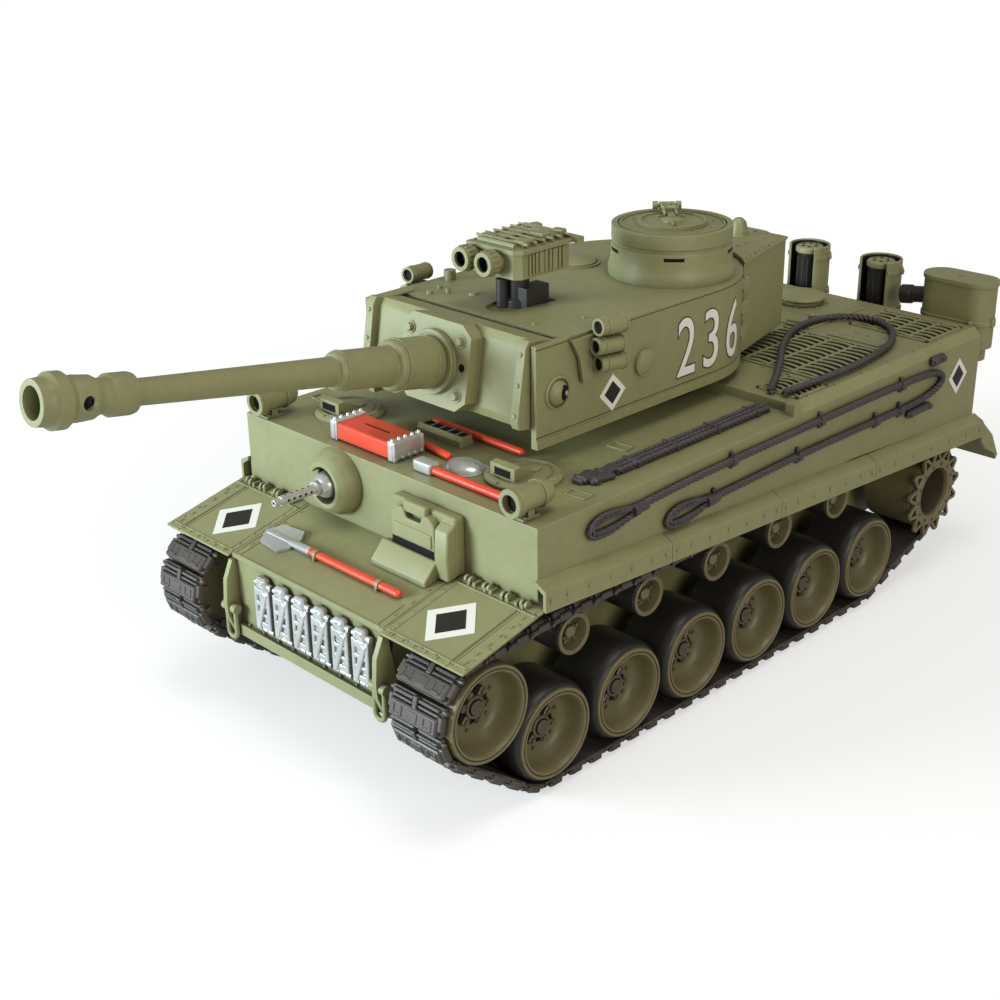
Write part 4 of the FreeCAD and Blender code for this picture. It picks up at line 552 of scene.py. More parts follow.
for node, side in (("track_left", 1), ("track_right", -1)):
    belt = bmesh.new()
    for spot in link_places():
        before = len(belt.verts)
        belt.from_mesh(link_mesh)
        belt.verts.ensure_lookup_table()
        bmesh.ops.transform(belt, matrix=spot, verts=belt.verts[before:])
    if side < 0:
        bmesh.ops.scale(belt, vec=(-1, 1, 1), verts=belt.verts)
        bmesh.ops.reverse_faces(belt, faces=belt.faces)
    finished_piece(node + "_links", belt, track_brown, own_body[node], RUBBER_SLOT, [node], sharp=25)

# ---- Upper hull ----
# The box-shaped superstructure is one moulding, open below over the tub, with a higher engine deck. Small
# raised frames stand on its roof beside the hatches.
# Near-black plates, discs and liners of this material are painted shade in the slots, mouths, gaps, holes and
# slits below.
black = finish_material("shade_black", (0.007, 0.006, 0.006), (0.03, 0.028, 0.026), (0.004, 0.004, 0.004),
                        drift=0.3, rub=0.2, dirt=0.3, gloss=0.6, grain=0.1)
black.node_tree.nodes["Principled BSDF"].inputs["Specular IOR Level"].default_value = 0.15
refined("upper_hull", olive)


def standing_at(x, y, z, degrees=0.0, axis="Z"):
    return Matrix.Translation(Vector((x, y, z)) * MM) @ Matrix.Rotation(math.radians(degrees), 4, axis)


def extruded(bm, outline, depth, turn=None, chamfer=0.0):
    """A prism: an outline of points in millimetres pushed along depth, then moved by the matrix turn."""
    turn = turn or Matrix()
    face = bm.faces.new([bm.verts.new(turn @ (Vector(point) * MM)) for point in outline])
    pushed = [item for item in bmesh.ops.extrude_face_region(bm, geom=[face])["geom"]
              if isinstance(item, bmesh.types.BMVert)]
    bmesh.ops.translate(bm, vec=turn.to_3x3() @ (Vector(depth) * MM), verts=pushed)
    if chamfer:
        rims = {rim for vert in pushed for rim in vert.link_edges}
        bmesh.ops.bevel(bm, geom=list(rims), offset=chamfer * MM, segments=1, profile=0.5, affect="EDGES",
                        material=-1)


FRONT = mm_box("upper_hull")[0].y           # outer face of the front plate
DECK = mm_box("upper_hull")[1].z - 1.0      # engine deck, under the top of its two low steps
ROOF = DECK - 4.0
roof_frames = bmesh.new()
for x, back, lean in ((70.5, 30, 8), (51.4, 73, 4), (-70.5, 30, -8)):
    turn = standing_at(x, FRONT + back, ROOF, lean)
    for side in (-4.6, 4.0):
        block(roof_frames, (side, -2.6, -0.2), (side + 0.6, 2.6, 0.5), turn, 0.1)
    for side in (-2.6, 2.0):
        block(roof_frames, (-4.6, side, -0.2), (4.6, side + 0.6, 0.45), turn, 0.1)
finished_piece("roof_frames", outward(roof_frames), olive, "hull", OLIVE_SLOT)

# ---- Glacis and nose ----
# The sloping front deck, the nose plate with its shelf and the tow-eye plates are one moulding. Fine beads
# run down it beside the fenders.
refined("glacis_plate", olive)
GLACIS_TOP, GLACIS_DROP, GLACIS_RUN = 76.0, 8.5, 37.0
slope = math.atan2(GLACIS_DROP, GLACIS_RUN)
on_glacis = Matrix.Translation(Vector((0, FRONT, GLACIS_TOP)) * MM) @ Matrix.Rotation(slope, 4, "X")
glacis_beads = bmesh.new()
for side in (-1, 1):
    for x, start, stop in ((42.3, 1.0, 37.2), (39.2, 25.0, 37.2)):
        block(glacis_beads, (side * x - 0.3, -stop, -0.2), (side * x + 0.3, -start, 0.3), on_glacis, 0.1)
    for along in range(4):
        peg(glacis_beads, (side * 40.8, -6 - 8 * along, -0.2), (side * 40.8, -6 - 8 * along, 0.35), 0.5, 8,
            turn=on_glacis)
block(glacis_beads, (-41, -37.8, -0.2), (41, -37.2, 0.3), on_glacis, 0.1)
for index in range(9):
    x = -36 + 9 * index
    peg(glacis_beads, (x, FRONT - 36.0, 39.6), (x, FRONT - 37.0, 39.6), 0.5, 8)
finished_piece("glacis_beads", outward(glacis_beads), olive, "hull", OLIVE_SLOT)

# ---- Front fenders ----
# A thin plate over each track, hinged at the front plate by four pairs of knuckles on a wire pin. A folded
# bead and a row of rivets run round its edges.
refined("front_fenders", olive, soft_edge=0.08 * MM)
fender_beads = bmesh.new()
for side in (-1, 1):
    for x, start, stop in ((46.4, 5.5, 38.6), (75.2, 5.5, 38.6), (77.0, 5.5, 38.6)):
        block(fender_beads, (side * x - 0.35, -stop, -0.3), (side * x + 0.35, -start, 0.28), on_glacis, 0.12)
    edges = sorted((side * 44.2, side * 83.6))
    for along in (5.2, 36.8):
        block(fender_beads, (edges[0], -along - 0.35, -0.3), (edges[1], -along + 0.35, 0.28), on_glacis, 0.12)
    for x in (50, 59, 68, 77):
        peg(fender_beads, (side * x - 1.9, -2.6, 1.1), (side * x + 1.9, -2.6, 1.1), 0.45, 8, turn=on_glacis)
        for knuckle in (-1.1, 1.1):
            peg(fender_beads, (side * x + knuckle - 0.5, -2.6, 1.1), (side * x + knuckle + 0.5, -2.6, 1.1),
                1.5, 16, turn=on_glacis)
    for index in range(6):
        peg(fender_beads, (side * 80.6, -8 - 5.4 * index, -0.2), (side * 80.6, -8 - 5.4 * index, 0.45), 0.6,
            8, turn=on_glacis)
        peg(fender_beads, (side * (48 + 5.6 * index), -38.4, -0.2), (side * (48 + 5.6 * index), -38.4, 0.4),
            0.55, 8, turn=on_glacis)
finished_piece("fender_beads", outward(fender_beads), olive, "hull", OLIVE_SLOT)

# ---- Side skirts ----
# Four sections along each side, each a sloping ledge with a hanging strip, and a flap behind the sprocket.
# Pan-head screws hold them, two at each joint.
refined("side_skirts", olive, soft_edge=0.12 * MM)
SKIRT_OUT = 85.0
SKIRT_START, SKIRT_END = -113.5 + AHEAD, 171.5 + AHEAD
SKIRT_TOP, SKIRT_FALL = 85.5, 18.0
skirt_joints = [SKIRT_START, -48 + AHEAD, 18 + AHEAD, 84 + AHEAD, SKIRT_END]
skirt_screws = bmesh.new()
for begin, end in zip(skirt_joints, skirt_joints[1:]):
    for y in (begin + 3, begin + (end - begin) / 3, begin + (end - begin) * 2 / 3, end - 3):
        z = SKIRT_TOP - SKIRT_FALL * (y - SKIRT_START) / (SKIRT_END - SKIRT_START) - 6
        for side in (-1, 1):
            peg(skirt_screws, (side * (SKIRT_OUT - 0.3), y, z), (side * (SKIRT_OUT + 0.7), y, z), 1.05, 12,
                0.8)
finished_piece("skirt_screws", outward(skirt_screws), olive, "hull", OLIVE_SLOT)

# ---- Spare track links ----
# Six cast links hang side by side on the nose plate, plated bright. Each has two rails, three bars, a
# slanting rib, hinge knuckles and a clip over its top.
silver = finish_material("bright_plating", (0.66, 0.66, 0.66), (0.92, 0.92, 0.92), (0.07, 0.07, 0.072),
                         metallic=0.62, drift=0.35, rub=0.9, dirt=0.75, gloss=0.27, grain=0.2)
SILVER_SLOT = "silver_plastic"
spare_low, spare_high = mm_box("spare_track_links")
LINKS, SPARE_PITCH = 6, 11.2
spare_links = bmesh.new()
for index in range(LINKS):
    turn = standing_at(spare_low.x + 4.8 + SPARE_PITCH * index, spare_high.y, 0)
    block(spare_links, (-4.4, -2.6, 43.2), (4.4, 0, 60.8), turn, 0.4)
    for rail in (-4.5, 2.6):
        block(spare_links, (rail, -3.4, 43.8), (rail + 1.9, -2.0, 60.4), turn, 0.4)
    for z, tall in ((44.0, 2.6), (48.6, 1.6), (52.6, 2.0), (56.8, 3.0)):
        block(spare_links, (-3.8, -3.3, z), (3.8, -2.0, z + tall), turn, 0.35)
    rib = turn @ standing_at(0, -2.8, 51.6, 20, "Y")
    block(spare_links, (-1.3, -1.1, -8.2), (1.3, 0.6, 8.2), rib, 0.4)
    for z in (42.9, 61.4):
        for knuckle in (-4.8, -1.45, 1.9):
            peg(spare_links, (knuckle, -1.6, z), (knuckle + 2.9, -1.6, z), 1.25, 14, turn=turn)
    block(spare_links, (-2.9, -3.7, 59.8), (2.9, -0.2, 64.6), turn, 0.9)
    for dimple in (-1.3, 1.3):
        peg(spare_links, (dimple, -4.1, 62.6), (dimple, -3.4, 62.6), 0.45, 8, turn=turn)
finished_piece("spare_track_links_cast", outward(spare_links), silver, "hull", SILVER_SLOT,
               ["spare_track_links"], soft_edge=0.12 * MM)

# ---- Driver's visor ----
# An armoured housing on the front plate, with a flap that drops over a slot filled with near-black painted
# shade and a wedge-shaped lip below it, bolted through its top edge.
visor, visor_shade = bmesh.new(), bmesh.new()
at_front = standing_at(0, FRONT, 0)
lip_front = -14.0
glacis_under_lip = GLACIS_TOP + GLACIS_DROP * lip_front / GLACIS_RUN
block(visor, (12, -4.6, 75.6), (45, 0.3, 98), at_front, 0.7)
extruded(visor, [(38.8, -4, 75.6), (38.8, -8.4, 75.0), (38.8, -8.8, 84), (38.8, -8.2, 93.6),
                 (38.8, -4, 96.4)],
         (6.2, 0, 0), at_front, 0.5)
extruded(visor, [(15, -4.4, 84), (38.0, -4.4, 84), (38.0, -4.4, 93), (34.8, -4.4, 96.2), (31.4, -4.4, 96.2),
                 (30.2, -4.4, 92.8), (22.8, -4.4, 92.8), (21.4, -4.4, 96.2), (18.2, -4.4, 96.2),
                 (15, -4.4, 93.2)],
         (0, -3.4, 0), at_front, 0.5)
block(visor, (16.4, -8.4, 85.0), (36.6, -7.4, 90.2), at_front, 0.4)
block(visor, (20.6, -7.0, 94.6), (32.6, -4.2, 99.0), at_front, 0.6)
extruded(visor, [(10.5, -4.4, 80.2), (10.5, -8.2, 81.4), (10.5, lip_front, glacis_under_lip + 2.4),
                 (10.5, lip_front, glacis_under_lip), (10.5, -4.4, 75)], (28.6, 0, 0), at_front, 0.35)
for x in (14.4, 21.0, 27.6, 34.2):
    peg(visor_shade, (x, -6.4, 80.4), (x, -6.5, 81.15), 0.75, 10, turn=at_front)
block(visor_shade, (14.4, -7.0, 80.5), (39.2, -4.3, 84.4), at_front, 0.2)
finished_piece("driver_visor_housing", outward(visor), olive, "hull", OLIVE_SLOT, ["driver_visor"],
               soft_edge=0.15 * MM)
finished_piece("driver_visor_slot", outward(visor_shade), black, "hull", "dark_plastic")

# ---- Machine-gun mount ----
# A thick domed ring on the front plate round the gun's ball, with a near-black disc inside as painted shade,
# and the plated gun turning in it.
refined("mg_ball_mount", olive)
ball_middle = middle_of("mg_ball_mount") / MM
mount_shade = bmesh.new()
peg(mount_shade, (ball_middle.x, FRONT + 0.2, ball_middle.z), (ball_middle.x, FRONT - 0.1, ball_middle.z), 7.5,
    32)
finished_piece("mg_mount_inside_shade", outward(mount_shade), black, "hull", "dark_plastic")

# ---- Roof fittings ----
# Two hooded headlights, two round hatches with periscope housings and a ventilator. Near-black discs and
# plates in their mouths, windows and the ventilator's slot are painted shade.
refined("roof_fittings", olive)
fitting_shade, fitting_bits = bmesh.new(), bmesh.new()
LAMP_Z = ROOF + 6.8
for x in (-70, 70):
    peg(fitting_shade, (x, FRONT - 0.4, LAMP_Z), (x, FRONT - 0.1, LAMP_Z), 3.05, 28)
    lathe(fitting_bits, [(3.3, 1.6), (4.9, 1.6), (5.2, 2.0), (5.2, 2.8), (4.9, 3.2), (3.3, 3.2)],
          Vector((x, FRONT + 0.2, LAMP_Z)) * MM, -Y, Z, 36)
    lathe(fitting_bits, [(4.4, -9.6), (5.0, -9.6), (5.0, -10.8), (4.4, -10.8)],
          Vector((x, FRONT + 0.2, LAMP_Z)) * MM, -Y, Z, 36)
    for way in (-2.6, 2.6):
        block(fitting_bits, (x + way - 0.5, FRONT + 3, ROOF), (x + way + 0.5, FRONT + 6, LAMP_Z - 2), None,
              0.2)
        peg(fitting_bits, (x + way, FRONT + 1.6, ROOF + 0.8), (x + way, FRONT + 1.6, ROOF + 1.6), 0.7, 6)
HATCH_BACK = 28.0       # hatch centres behind the front plate
for x in (46, -50):
    block(fitting_shade, (x - 4.9, FRONT + HATCH_BACK - 8.9, ROOF + 2.9),
          (x + 2.9, FRONT + HATCH_BACK - 8.5, ROOF + 5.7))
    hatch_middle = Vector((x, FRONT + HATCH_BACK, ROOF)) * MM
    lathe(fitting_bits, [(11.2, 1.9), (12.0, 1.9), (12.0, 2.5), (11.2, 2.5)], hatch_middle, Z, X, 48)
    lathe(fitting_bits, [(0, 2.0), (3.4, 2.0), (3.4, 2.8), (2.6, 3.1), (0, 3.1)], hatch_middle + 4 * MM * Y,
          Z, X, 24, closed=False)
    for index in range(8):
        angle = 2 * math.pi * index / 8
        spot = (x + 12.9 * math.cos(angle), FRONT + HATCH_BACK + 12.9 * math.sin(angle))
        peg(fitting_bits, (*spot, ROOF + 1.2), (*spot, ROOF + 2.3), 0.6, 6)
block(fitting_shade, (-13.2, FRONT + 33.0, ROOF + 3.9), (9.2, FRONT + 36.4, ROOF + 4.15))
for index in range(5):
    block(fitting_bits, (-12.4 + 4.6 * index, FRONT + 32.6, ROOF + 3.8),
          (-11.9 + 4.6 * index, FRONT + 36.8, ROOF + 4.4))
finished_piece("roof_fitting_mouth_shade", outward(fitting_shade), black, "hull", "dark_plastic")
finished_piece("roof_fitting_rings", outward(fitting_bits), olive, "hull", OLIVE_SLOT)

# ---- Jack block ----
# A red wooden block with a slot along it, held between two plated end frames whose tops and feet are studded.
red = finish_material("red_plastic", (0.74, 0.065, 0.025), (0.9, 0.3, 0.18), (0.22, 0.02, 0.01),
                      drift=0.2, rub=0.3, dirt=0.5, gloss=0.33, grain=0.08)
RED_SLOT = "red_plastic"
jack_low, jack_high = mm_box("jack_block")
wood, frames, wood_slot_shade = bmesh.new(), bmesh.new(), bmesh.new()
block(wood, (jack_low.x + 3, jack_low.y + 0.8, ROOF + 0.4),
      (jack_high.x - 3, jack_high.y - 0.8, jack_high.z - 0.8), None, 0.6)
middle_y = (jack_low.y + jack_high.y) / 2
# A near-black strip in the slot is painted shade.
block(wood_slot_shade, (jack_low.x + 12, middle_y - 0.35, jack_high.z - 1.4),
      (jack_high.x - 11, middle_y + 0.35, jack_high.z - 0.72))
for near in (jack_low.x + 0.4, jack_high.x - 3.6):
    far = near + 3.2
    block(frames, (near, jack_low.y, ROOF), (far, jack_high.y, jack_high.z), None, 0.7)
    for y in (jack_low.y + 0.4, jack_high.y - 1.8):
        block(frames, (near - 0.4, y, ROOF), (far + 0.4, y + 1.4, jack_high.z + 0.1), None, 0.3)
    for index in range(5):
        y = jack_low.y + 1.4 + (jack_high.y - jack_low.y - 2.8) * index / 4
        peg(frames, (near + 1.6, y, jack_high.z - 0.4), (near + 1.6, y, jack_high.z + 1.0), 0.95, 12, 0.6)
        peg(frames, (near - 0.5, y, ROOF + 1.2), (far + 0.5, y, ROOF + 1.2), 0.7, 10)
finished_piece("jack_block_wood", outward(wood), red, "hull", RED_SLOT, ["jack_block"], soft_edge=0.2 * MM)
finished_piece("jack_block_frames", outward(frames), silver, "hull", SILVER_SLOT, soft_edge=0.15 * MM)
finished_piece("jack_block_slot_shade", outward(wood_slot_shade), black, "hull", "dark_plastic")

# ---- Tools ----
# Shovel, spade, bar and sledge with turned red handles, plated heads and thin clips over the shovel's handle.
tool_plating = finish_material("tool_plating", (0.66, 0.67, 0.65), (0.9, 0.9, 0.89), (0.07, 0.07, 0.07),
                               metallic=0.6, drift=0.25, rub=0.6, dirt=0.6, gloss=0.26, grain=0.06)
refined("tool_heads", tool_plating, SILVER_SLOT, 0.15 * MM)
handles, clips, tool_ribs = bmesh.new(), bmesh.new(), bmesh.new()
TOOL_Z = ROOF + 1.7


def handle(start, end, radius, turn=None):
    """A turned handle with a domed end and a slight neck."""
    start, end = Vector(start), Vector(end)
    along = (end - start).normalized()
    peg(handles, start, end - along * 1.0, radius, 24, turn=turn)
    peg(handles, end - along * 1.001, end, radius, 24, radius * 0.6, turn=turn)


SHOVEL_DOWN, SHOVEL_UP = 22.6, 1.75     # place of the shovel's handle on the glacis
handle((-14, -SHOVEL_DOWN, SHOVEL_UP), (36, -SHOVEL_DOWN, SHOVEL_UP), 1.5, on_glacis)
handle((-15, FRONT + 24, TOOL_Z), (16.3, FRONT + 20.6, TOOL_Z), 1.4)
handle((-15, FRONT + 41.6, TOOL_Z), (33, FRONT + 41.6, TOOL_Z), 1.4)
handle((21.5, FRONT + 8, TOOL_Z), (61, FRONT + 8, TOOL_Z), 1.6)
for x in (-11, 24):
    lathe(clips, [(1.5, 0), (1.95, 0), (1.95, 1.6), (1.5, 1.6)],
          on_glacis @ (Vector((x, -SHOVEL_DOWN, SHOVEL_UP)) * MM), X, Z, 24)
    for way in (-1, 1):
        block(clips, (x + 0.3, way * 2.0 - SHOVEL_DOWN - 0.35, -0.2),
              (x + 1.3, way * 2.0 - SHOVEL_DOWN + 0.35, 1.6), on_glacis, 0.1)
block(tool_ribs, (-40, -SHOVEL_DOWN - 0.9, 1.2), (-22, -SHOVEL_DOWN + 0.9, 2.1), on_glacis, 0.4)
peg(tool_ribs, (-26, -SHOVEL_DOWN, 1.3), (-13.6, -SHOVEL_DOWN, 1.75), 1.3, 16, 1.7, turn=on_glacis)
finished_piece("tool_handles_turned", outward(handles), red, "hull", RED_SLOT, ["tool_handles"])
finished_piece("shovel_clips", outward(clips), olive, "hull", OLIVE_SLOT)
finished_piece("tool_ribs", outward(tool_ribs), tool_plating, "hull", SILVER_SLOT)
spade = bmesh.new()
spade_middle = Vector((25, FRONT + 19.5, ROOF)) * MM
lathe(spade, [(0, 3.4), (2.6, 3.2), (4.8, 2.5), (6.0, 1.5), (6.6, 0.3), (0, 0.3)], spade_middle, Z, X, 48,
      closed=False)
bmesh.ops.scale(spade, vec=(1.27, 1, 1), space=Matrix.Translation(-spade_middle), verts=spade.verts)
finished_piece("spade_blade", outward(spade), tool_plating, "hull", SILVER_SLOT)

# ---- Engine deck ----
# Louvred grilles over the cooling air's way, a hinged hatch with a domed inlet, and small plates between.
# The louvres are slats over a near-black sheet that stands as painted shade in the gaps under them.
deck_plates, slats, gaps = bmesh.new(), bmesh.new(), bmesh.new()
DECK_BACK = mm_box("upper_hull")[1].y


PANEL = 0.6             # height of the deck's panels, which the turret just clears


def grille(x0, x1, y0, y1, columns, rows, bow=1.3):
    """Frame, ribs and bowed slats of one grille over a near-black sheet of painted shade."""
    edge = 1.6
    block(gaps, (x0 + 1.3, y0 + 1.3, DECK - 0.2), (x1 - 1.3, y1 - 1.3, DECK + 0.08))
    for low, high in (((x0, y0), (x0 + edge, y1)), ((x1 - edge, y0), (x1, y1)),
                      ((x0, y0), (x1, y0 + edge)), ((x0, y1 - edge), (x1, y1))):
        block(slats, (*low, DECK - 0.2), (*high, DECK + PANEL), None, 0.15)
    bay = (x1 - x0 - 2 * edge) / columns
    for column in range(1, columns):
        x = x0 + edge + bay * column
        block(slats, (x - 0.6, y0 + 0.6, DECK - 0.2), (x + 0.6, y1 - 0.6, DECK + PANEL), None, 0.15)
    pitch = (y1 - y0 - 2 * edge) / rows
    for column in range(columns):
        left = x0 + edge + bay * column
        for row in range(rows):
            y = y0 + edge + pitch * row
            curve = [(left + bay * part / 4, bow * math.sin(math.pi * part / 4)) for part in range(5)]
            near = [(x, y + pitch * 0.05 + rise, DECK) for x, rise in curve]
            far = [(x, y + pitch * 0.5 + rise, DECK) for x, rise in reversed(curve)]
            extruded(slats, near + far, (0, 0, PANEL - 0.05))


for side in (-1, 1):
    for x0, x1, y0, y1, columns, rows in ((15, 68, 62, 112, 4, 11), (34, 74, 134, 163, 4, 6),
                                          (55, 75, 38, 59, 2, 5)):
        near, far = sorted((side * x0, side * x1))
        grille(near, far, y0 + AHEAD, y1 + AHEAD, columns, rows)
    near, far = sorted((side * 36, side * 62))
    block(deck_plates, (near, 114.5 + AHEAD, DECK - 0.2), (far, 131 + AHEAD, DECK + PANEL), None, 0.2)
    block(deck_plates, (near + 4, 117.5 + AHEAD, DECK - 0.2), (far - 4, 128 + AHEAD, DECK + PANEL + 0.3),
          None, 0.2)
    for x in (near + 10, far - 10):
        peg(deck_plates, (x, 122.8 + AHEAD, DECK + PANEL), (x, 122.8 + AHEAD, DECK + PANEL + 0.8), 0.8, 12)
    for index in range(7):
        peg(deck_plates, (side * 76.2, 44 + 19 * index + AHEAD, DECK - 0.2),
            (side * 76.2, 44 + 19 * index + AHEAD, DECK + 0.6), 0.9, 10, 0.6)
    for x in range(24, 70, 9):
        peg(deck_plates, (side * x, 60 + AHEAD, DECK - 0.2), (side * x, 60 + AHEAD, DECK + 0.5), 0.7, 10, 0.5)
block(deck_plates, (-26, 116 + AHEAD, DECK - 0.2), (26, 162 + AHEAD, DECK + PANEL), None, 0.3)
block(deck_plates, (-22, 132 + AHEAD, DECK), (22, 160 + AHEAD, DECK + PANEL + 0.5), None, 0.3)
inlet = Vector((0, 146 + AHEAD, DECK)) * MM
lathe(deck_plates, [(0, 1.2), (9.4, 1.2), (9.4, 2.6), (8.6, 2.8), (8.6, 3.0), (10.8, 3.2), (11.2, 3.8),
                    (10.9, 4.5), (9.4, 5.3), (7.0, 6.0), (4.0, 6.5), (0, 6.6)], inlet, Z, X, 56, closed=False)
for x in (-18, 18):
    block(deck_plates, (x - 4, 114.6 + AHEAD, DECK - 0.2), (x + 4, 119.6 + AHEAD, DECK + 1.2), None, 0.4)
    peg(deck_plates, (x - 4.6, 117.5 + AHEAD, DECK + 1.4), (x + 4.6, 117.5 + AHEAD, DECK + 1.4), 1.2, 16)
    block(deck_plates, (x - 1.2, 127.5 + AHEAD, DECK + 0.4), (x + 1.2, 131 + AHEAD, DECK + 2.4), None, 0.4)
for index in range(8):
    angle = 2 * math.pi * (index + 0.5) / 8
    spot = (12.6 * math.cos(angle), 146 + AHEAD + 12.6 * math.sin(angle))
    peg(deck_plates, (*spot, DECK + 0.9), (*spot, DECK + 1.8), 0.7, 6)
finished_piece("engine_deck_slats", outward(slats), olive, "hull", OLIVE_SLOT, ["engine_deck"])
finished_piece("engine_deck_gap_shade", outward(gaps), black, "hull", "dark_plastic")
finished_piece("engine_deck_plates", outward(deck_plates), olive, "hull", OLIVE_SLOT, soft_edge=0.12 * MM)

# ---- Exhausts ----
# Two upright pipes on the rear plate, each in a sheet guard that is open towards the front and held by two
# bands. A drilled cap closes the pipe, its holes filled with near-black painted shade, and the inside is
# sooty.
soot = finish_material("sooty_plastic", (0.022, 0.017, 0.018), (0.09, 0.075, 0.075), (0.008, 0.007, 0.007),
                       drift=0.4, rub=0.5, dirt=0.6, gloss=0.38, grain=0.12)
guards, pipes, caps, cap_holes = bmesh.new(), bmesh.new(), bmesh.new(), bmesh.new()
EXHAUST_BACK = 10.6
GAP_FROM, GAP_TO = math.radians(214), math.radians(318)     # where the guard is open


def part_ring(bm, outline, centre, from_angle, to_angle, steps):
    """Spins a (radius, height) outline through part of a turn about a vertical axis, with closed ends."""
    start = Vector((math.cos(from_angle), math.sin(from_angle), 0))
    corners = [bm.verts.new(centre + start * (radius * MM) + Z * (height * MM)) for radius, height in outline]
    face = bm.faces.new(corners)
    bmesh.ops.spin(bm, geom=[face, *face.edges, *face.verts], cent=centre, axis=Z,
                   angle=to_angle - from_angle,
                   steps=steps)


for x in (-20, 20):
    middle = Vector((x, DECK_BACK + EXHAUST_BACK, 0)) * MM
    lathe(guards, [(6.0, 88), (9.8, 88), (9.8, 97), (8.7, 97), (8.7, 89.4), (6.0, 89.4)], middle, Z, X, 64)
    part_ring(guards, [(8.7, 96.9), (9.8, 96.9), (9.8, 126.6), (9.5, 127), (9.0, 127), (8.7, 126.6)], middle,
              GAP_TO, GAP_FROM + 2 * math.pi, 44)
    part_ring(pipes, [(8.45, 89.6), (8.68, 89.6), (8.68, 126.4), (8.45, 126.4)], middle, GAP_TO + 0.02,
              GAP_FROM + 2 * math.pi - 0.02, 44)
    for z in (104, 121):
        part_ring(guards, [(9.7, z), (10.4, z), (10.4, z + 1.6), (9.7, z + 1.6)], middle, GAP_TO + 0.05,
                  GAP_FROM + 2 * math.pi - 0.05, 44)
        for angle in (0.15, 1.7):
            spot = (x + 10.4 * math.cos(angle), DECK_BACK + EXHAUST_BACK + 10.4 * math.sin(angle))
            block(guards, (-1.3, -1.0, -0.4), (1.0, 1.0, 2.0), standing_at(*spot, z, math.degrees(angle)),
                  0.3)
    lathe(pipes, [(0, 84), (6.2, 84), (6.2, 88.6), (5.6, 89.4), (5.4, 91), (5.4, 121), (5.9, 121.8),
                  (5.9, 123.2), (0, 123.2)], middle, Z, X, 40, closed=False)
    for index in range(12):
        angle = 2 * math.pi * index / 12
        block(pipes, (5.2, -0.3, 91), (5.75, 0.3, 120.6), standing_at(x, DECK_BACK + EXHAUST_BACK, 0,
                                                                     math.degrees(angle)), 0.1)
    lathe(caps, [(0, 123), (6.1, 123), (6.6, 123.4), (6.6, 125.2), (6.2, 125.8), (5.0, 126.0), (0, 126.1)],
          middle, Z,
          X, 40, closed=False)
    for index in range(6):
        angle = 2 * math.pi * index / 6
        spot = (x + 3.5 * math.cos(angle), DECK_BACK + EXHAUST_BACK + 3.5 * math.sin(angle))
        peg(cap_holes, (*spot, 125.6), (*spot, 126.16), 0.8, 12)
    block(guards, (x - 4, DECK_BACK - 0.2, 85.4), (x + 4, DECK_BACK + 6, 90.6), None, 0.5)
finished_piece("exhaust_guards", outward(guards), olive, "hull", OLIVE_SLOT, ["exhausts"])
finished_piece("exhaust_pipes", outward(pipes), soot, "hull", "dark_plastic")
finished_piece("exhaust_caps", outward(caps), olive, "hull", OLIVE_SLOT)
finished_piece("exhaust_cap_hole_shade", outward(cap_holes), black, "hull", "dark_plastic")

# ---- Air filters ----
# An oval canister on each rear corner with an overhanging lid, a clamping band and a dark stub pipe.
refined("air_filters", olive, soft_edge=0.15 * MM)
filter_bits, stubs = bmesh.new(), bmesh.new()
for side in (-1, 1):
    for y, z in ((DECK_BACK + 0.4, 108), (DECK_BACK + 9.3, 108)):
        end = 79.8 if y > DECK_BACK + 5 else 74
        block(filter_bits, (side * end - 0.9, y - 1.6, z - 1.8), (side * end + 0.9, y + 1.6, z + 1.8), None,
              0.4)
    for along in (-0.9, 0.9):
        peg(filter_bits, (side * (62.5 + along), DECK_BACK + 9.3, 126.4),
            (side * (62.5 + along), DECK_BACK + 9.3, 126.9), 0.45, 8)
    peg(stubs, (side * 49, DECK_BACK + 7.0, 115.6), (side * 37, DECK_BACK + 5.4, 114.1), 3.75, 28)
    peg(stubs, (side * 40.5, DECK_BACK + 5.8, 114.5), (side * 35.9, DECK_BACK + 5.2, 113.9), 4.35, 28)
    block(filter_bits, (side * 52 - 3, DECK_BACK - 0.2, 101), (side * 52 + 3, DECK_BACK + 2.4, 106.6), None,
          0.5)
    peg(filter_bits, (side * 52 - 3.4, DECK_BACK + 1.8, 106.4), (side * 52 + 3.4, DECK_BACK + 1.8, 106.4),
        1.0, 12)
finished_piece("air_filter_clips", outward(filter_bits), olive, "hull", OLIVE_SLOT)
finished_piece("air_filter_stubs", outward(stubs), soot, "hull", "dark_plastic")
# Near-black discs in the stub pipes' mouths are painted shade.
stub_mouths = bmesh.new()
for side in (-1, 1):
    peg(stub_mouths, (side * 36.4, DECK_BACK + 5.3, 113.95), (side * 35.84, DECK_BACK + 5.2, 113.88), 3.0, 24)
finished_piece("air_filter_mouth_shade", outward(stub_mouths), black, "hull", "dark_plastic")

# ---- Turret shell ----
# A hollow horseshoe-shaped shell. A seam runs round it above its lower lip and another under its roof, each
# drawn as a thin dark band of painted shade, and a round pistol port stands on each cheek, its slot a
# near-black disc of painted shade.
refined("turret_shell", olive)
TURRET_SIDE, TURRET_BEND, CHEEK = 45.5, 24 + AHEAD, -77 + AHEAD
TURRET_FLOOR, TURRET_TOP = 112.0, 150.0
seam_shade_paint = finish_material("seam_shadow", (0.03, 0.028, 0.014), (0.05, 0.045, 0.03), (0.01, 0.009, 0.005),
                             drift=0.3, rub=0.1, dirt=0.4, gloss=0.6, grain=0.1)


def around_turret(out):
    """Points round the shell's plan, out beyond its wall."""
    reach = TURRET_SIDE + out
    bend = [(reach * math.cos(math.pi * step / 60), TURRET_BEND + reach * math.sin(math.pi * step / 60))
            for step in range(61)]
    return [(reach, CHEEK)] + bend + [(-reach, CHEEK)]


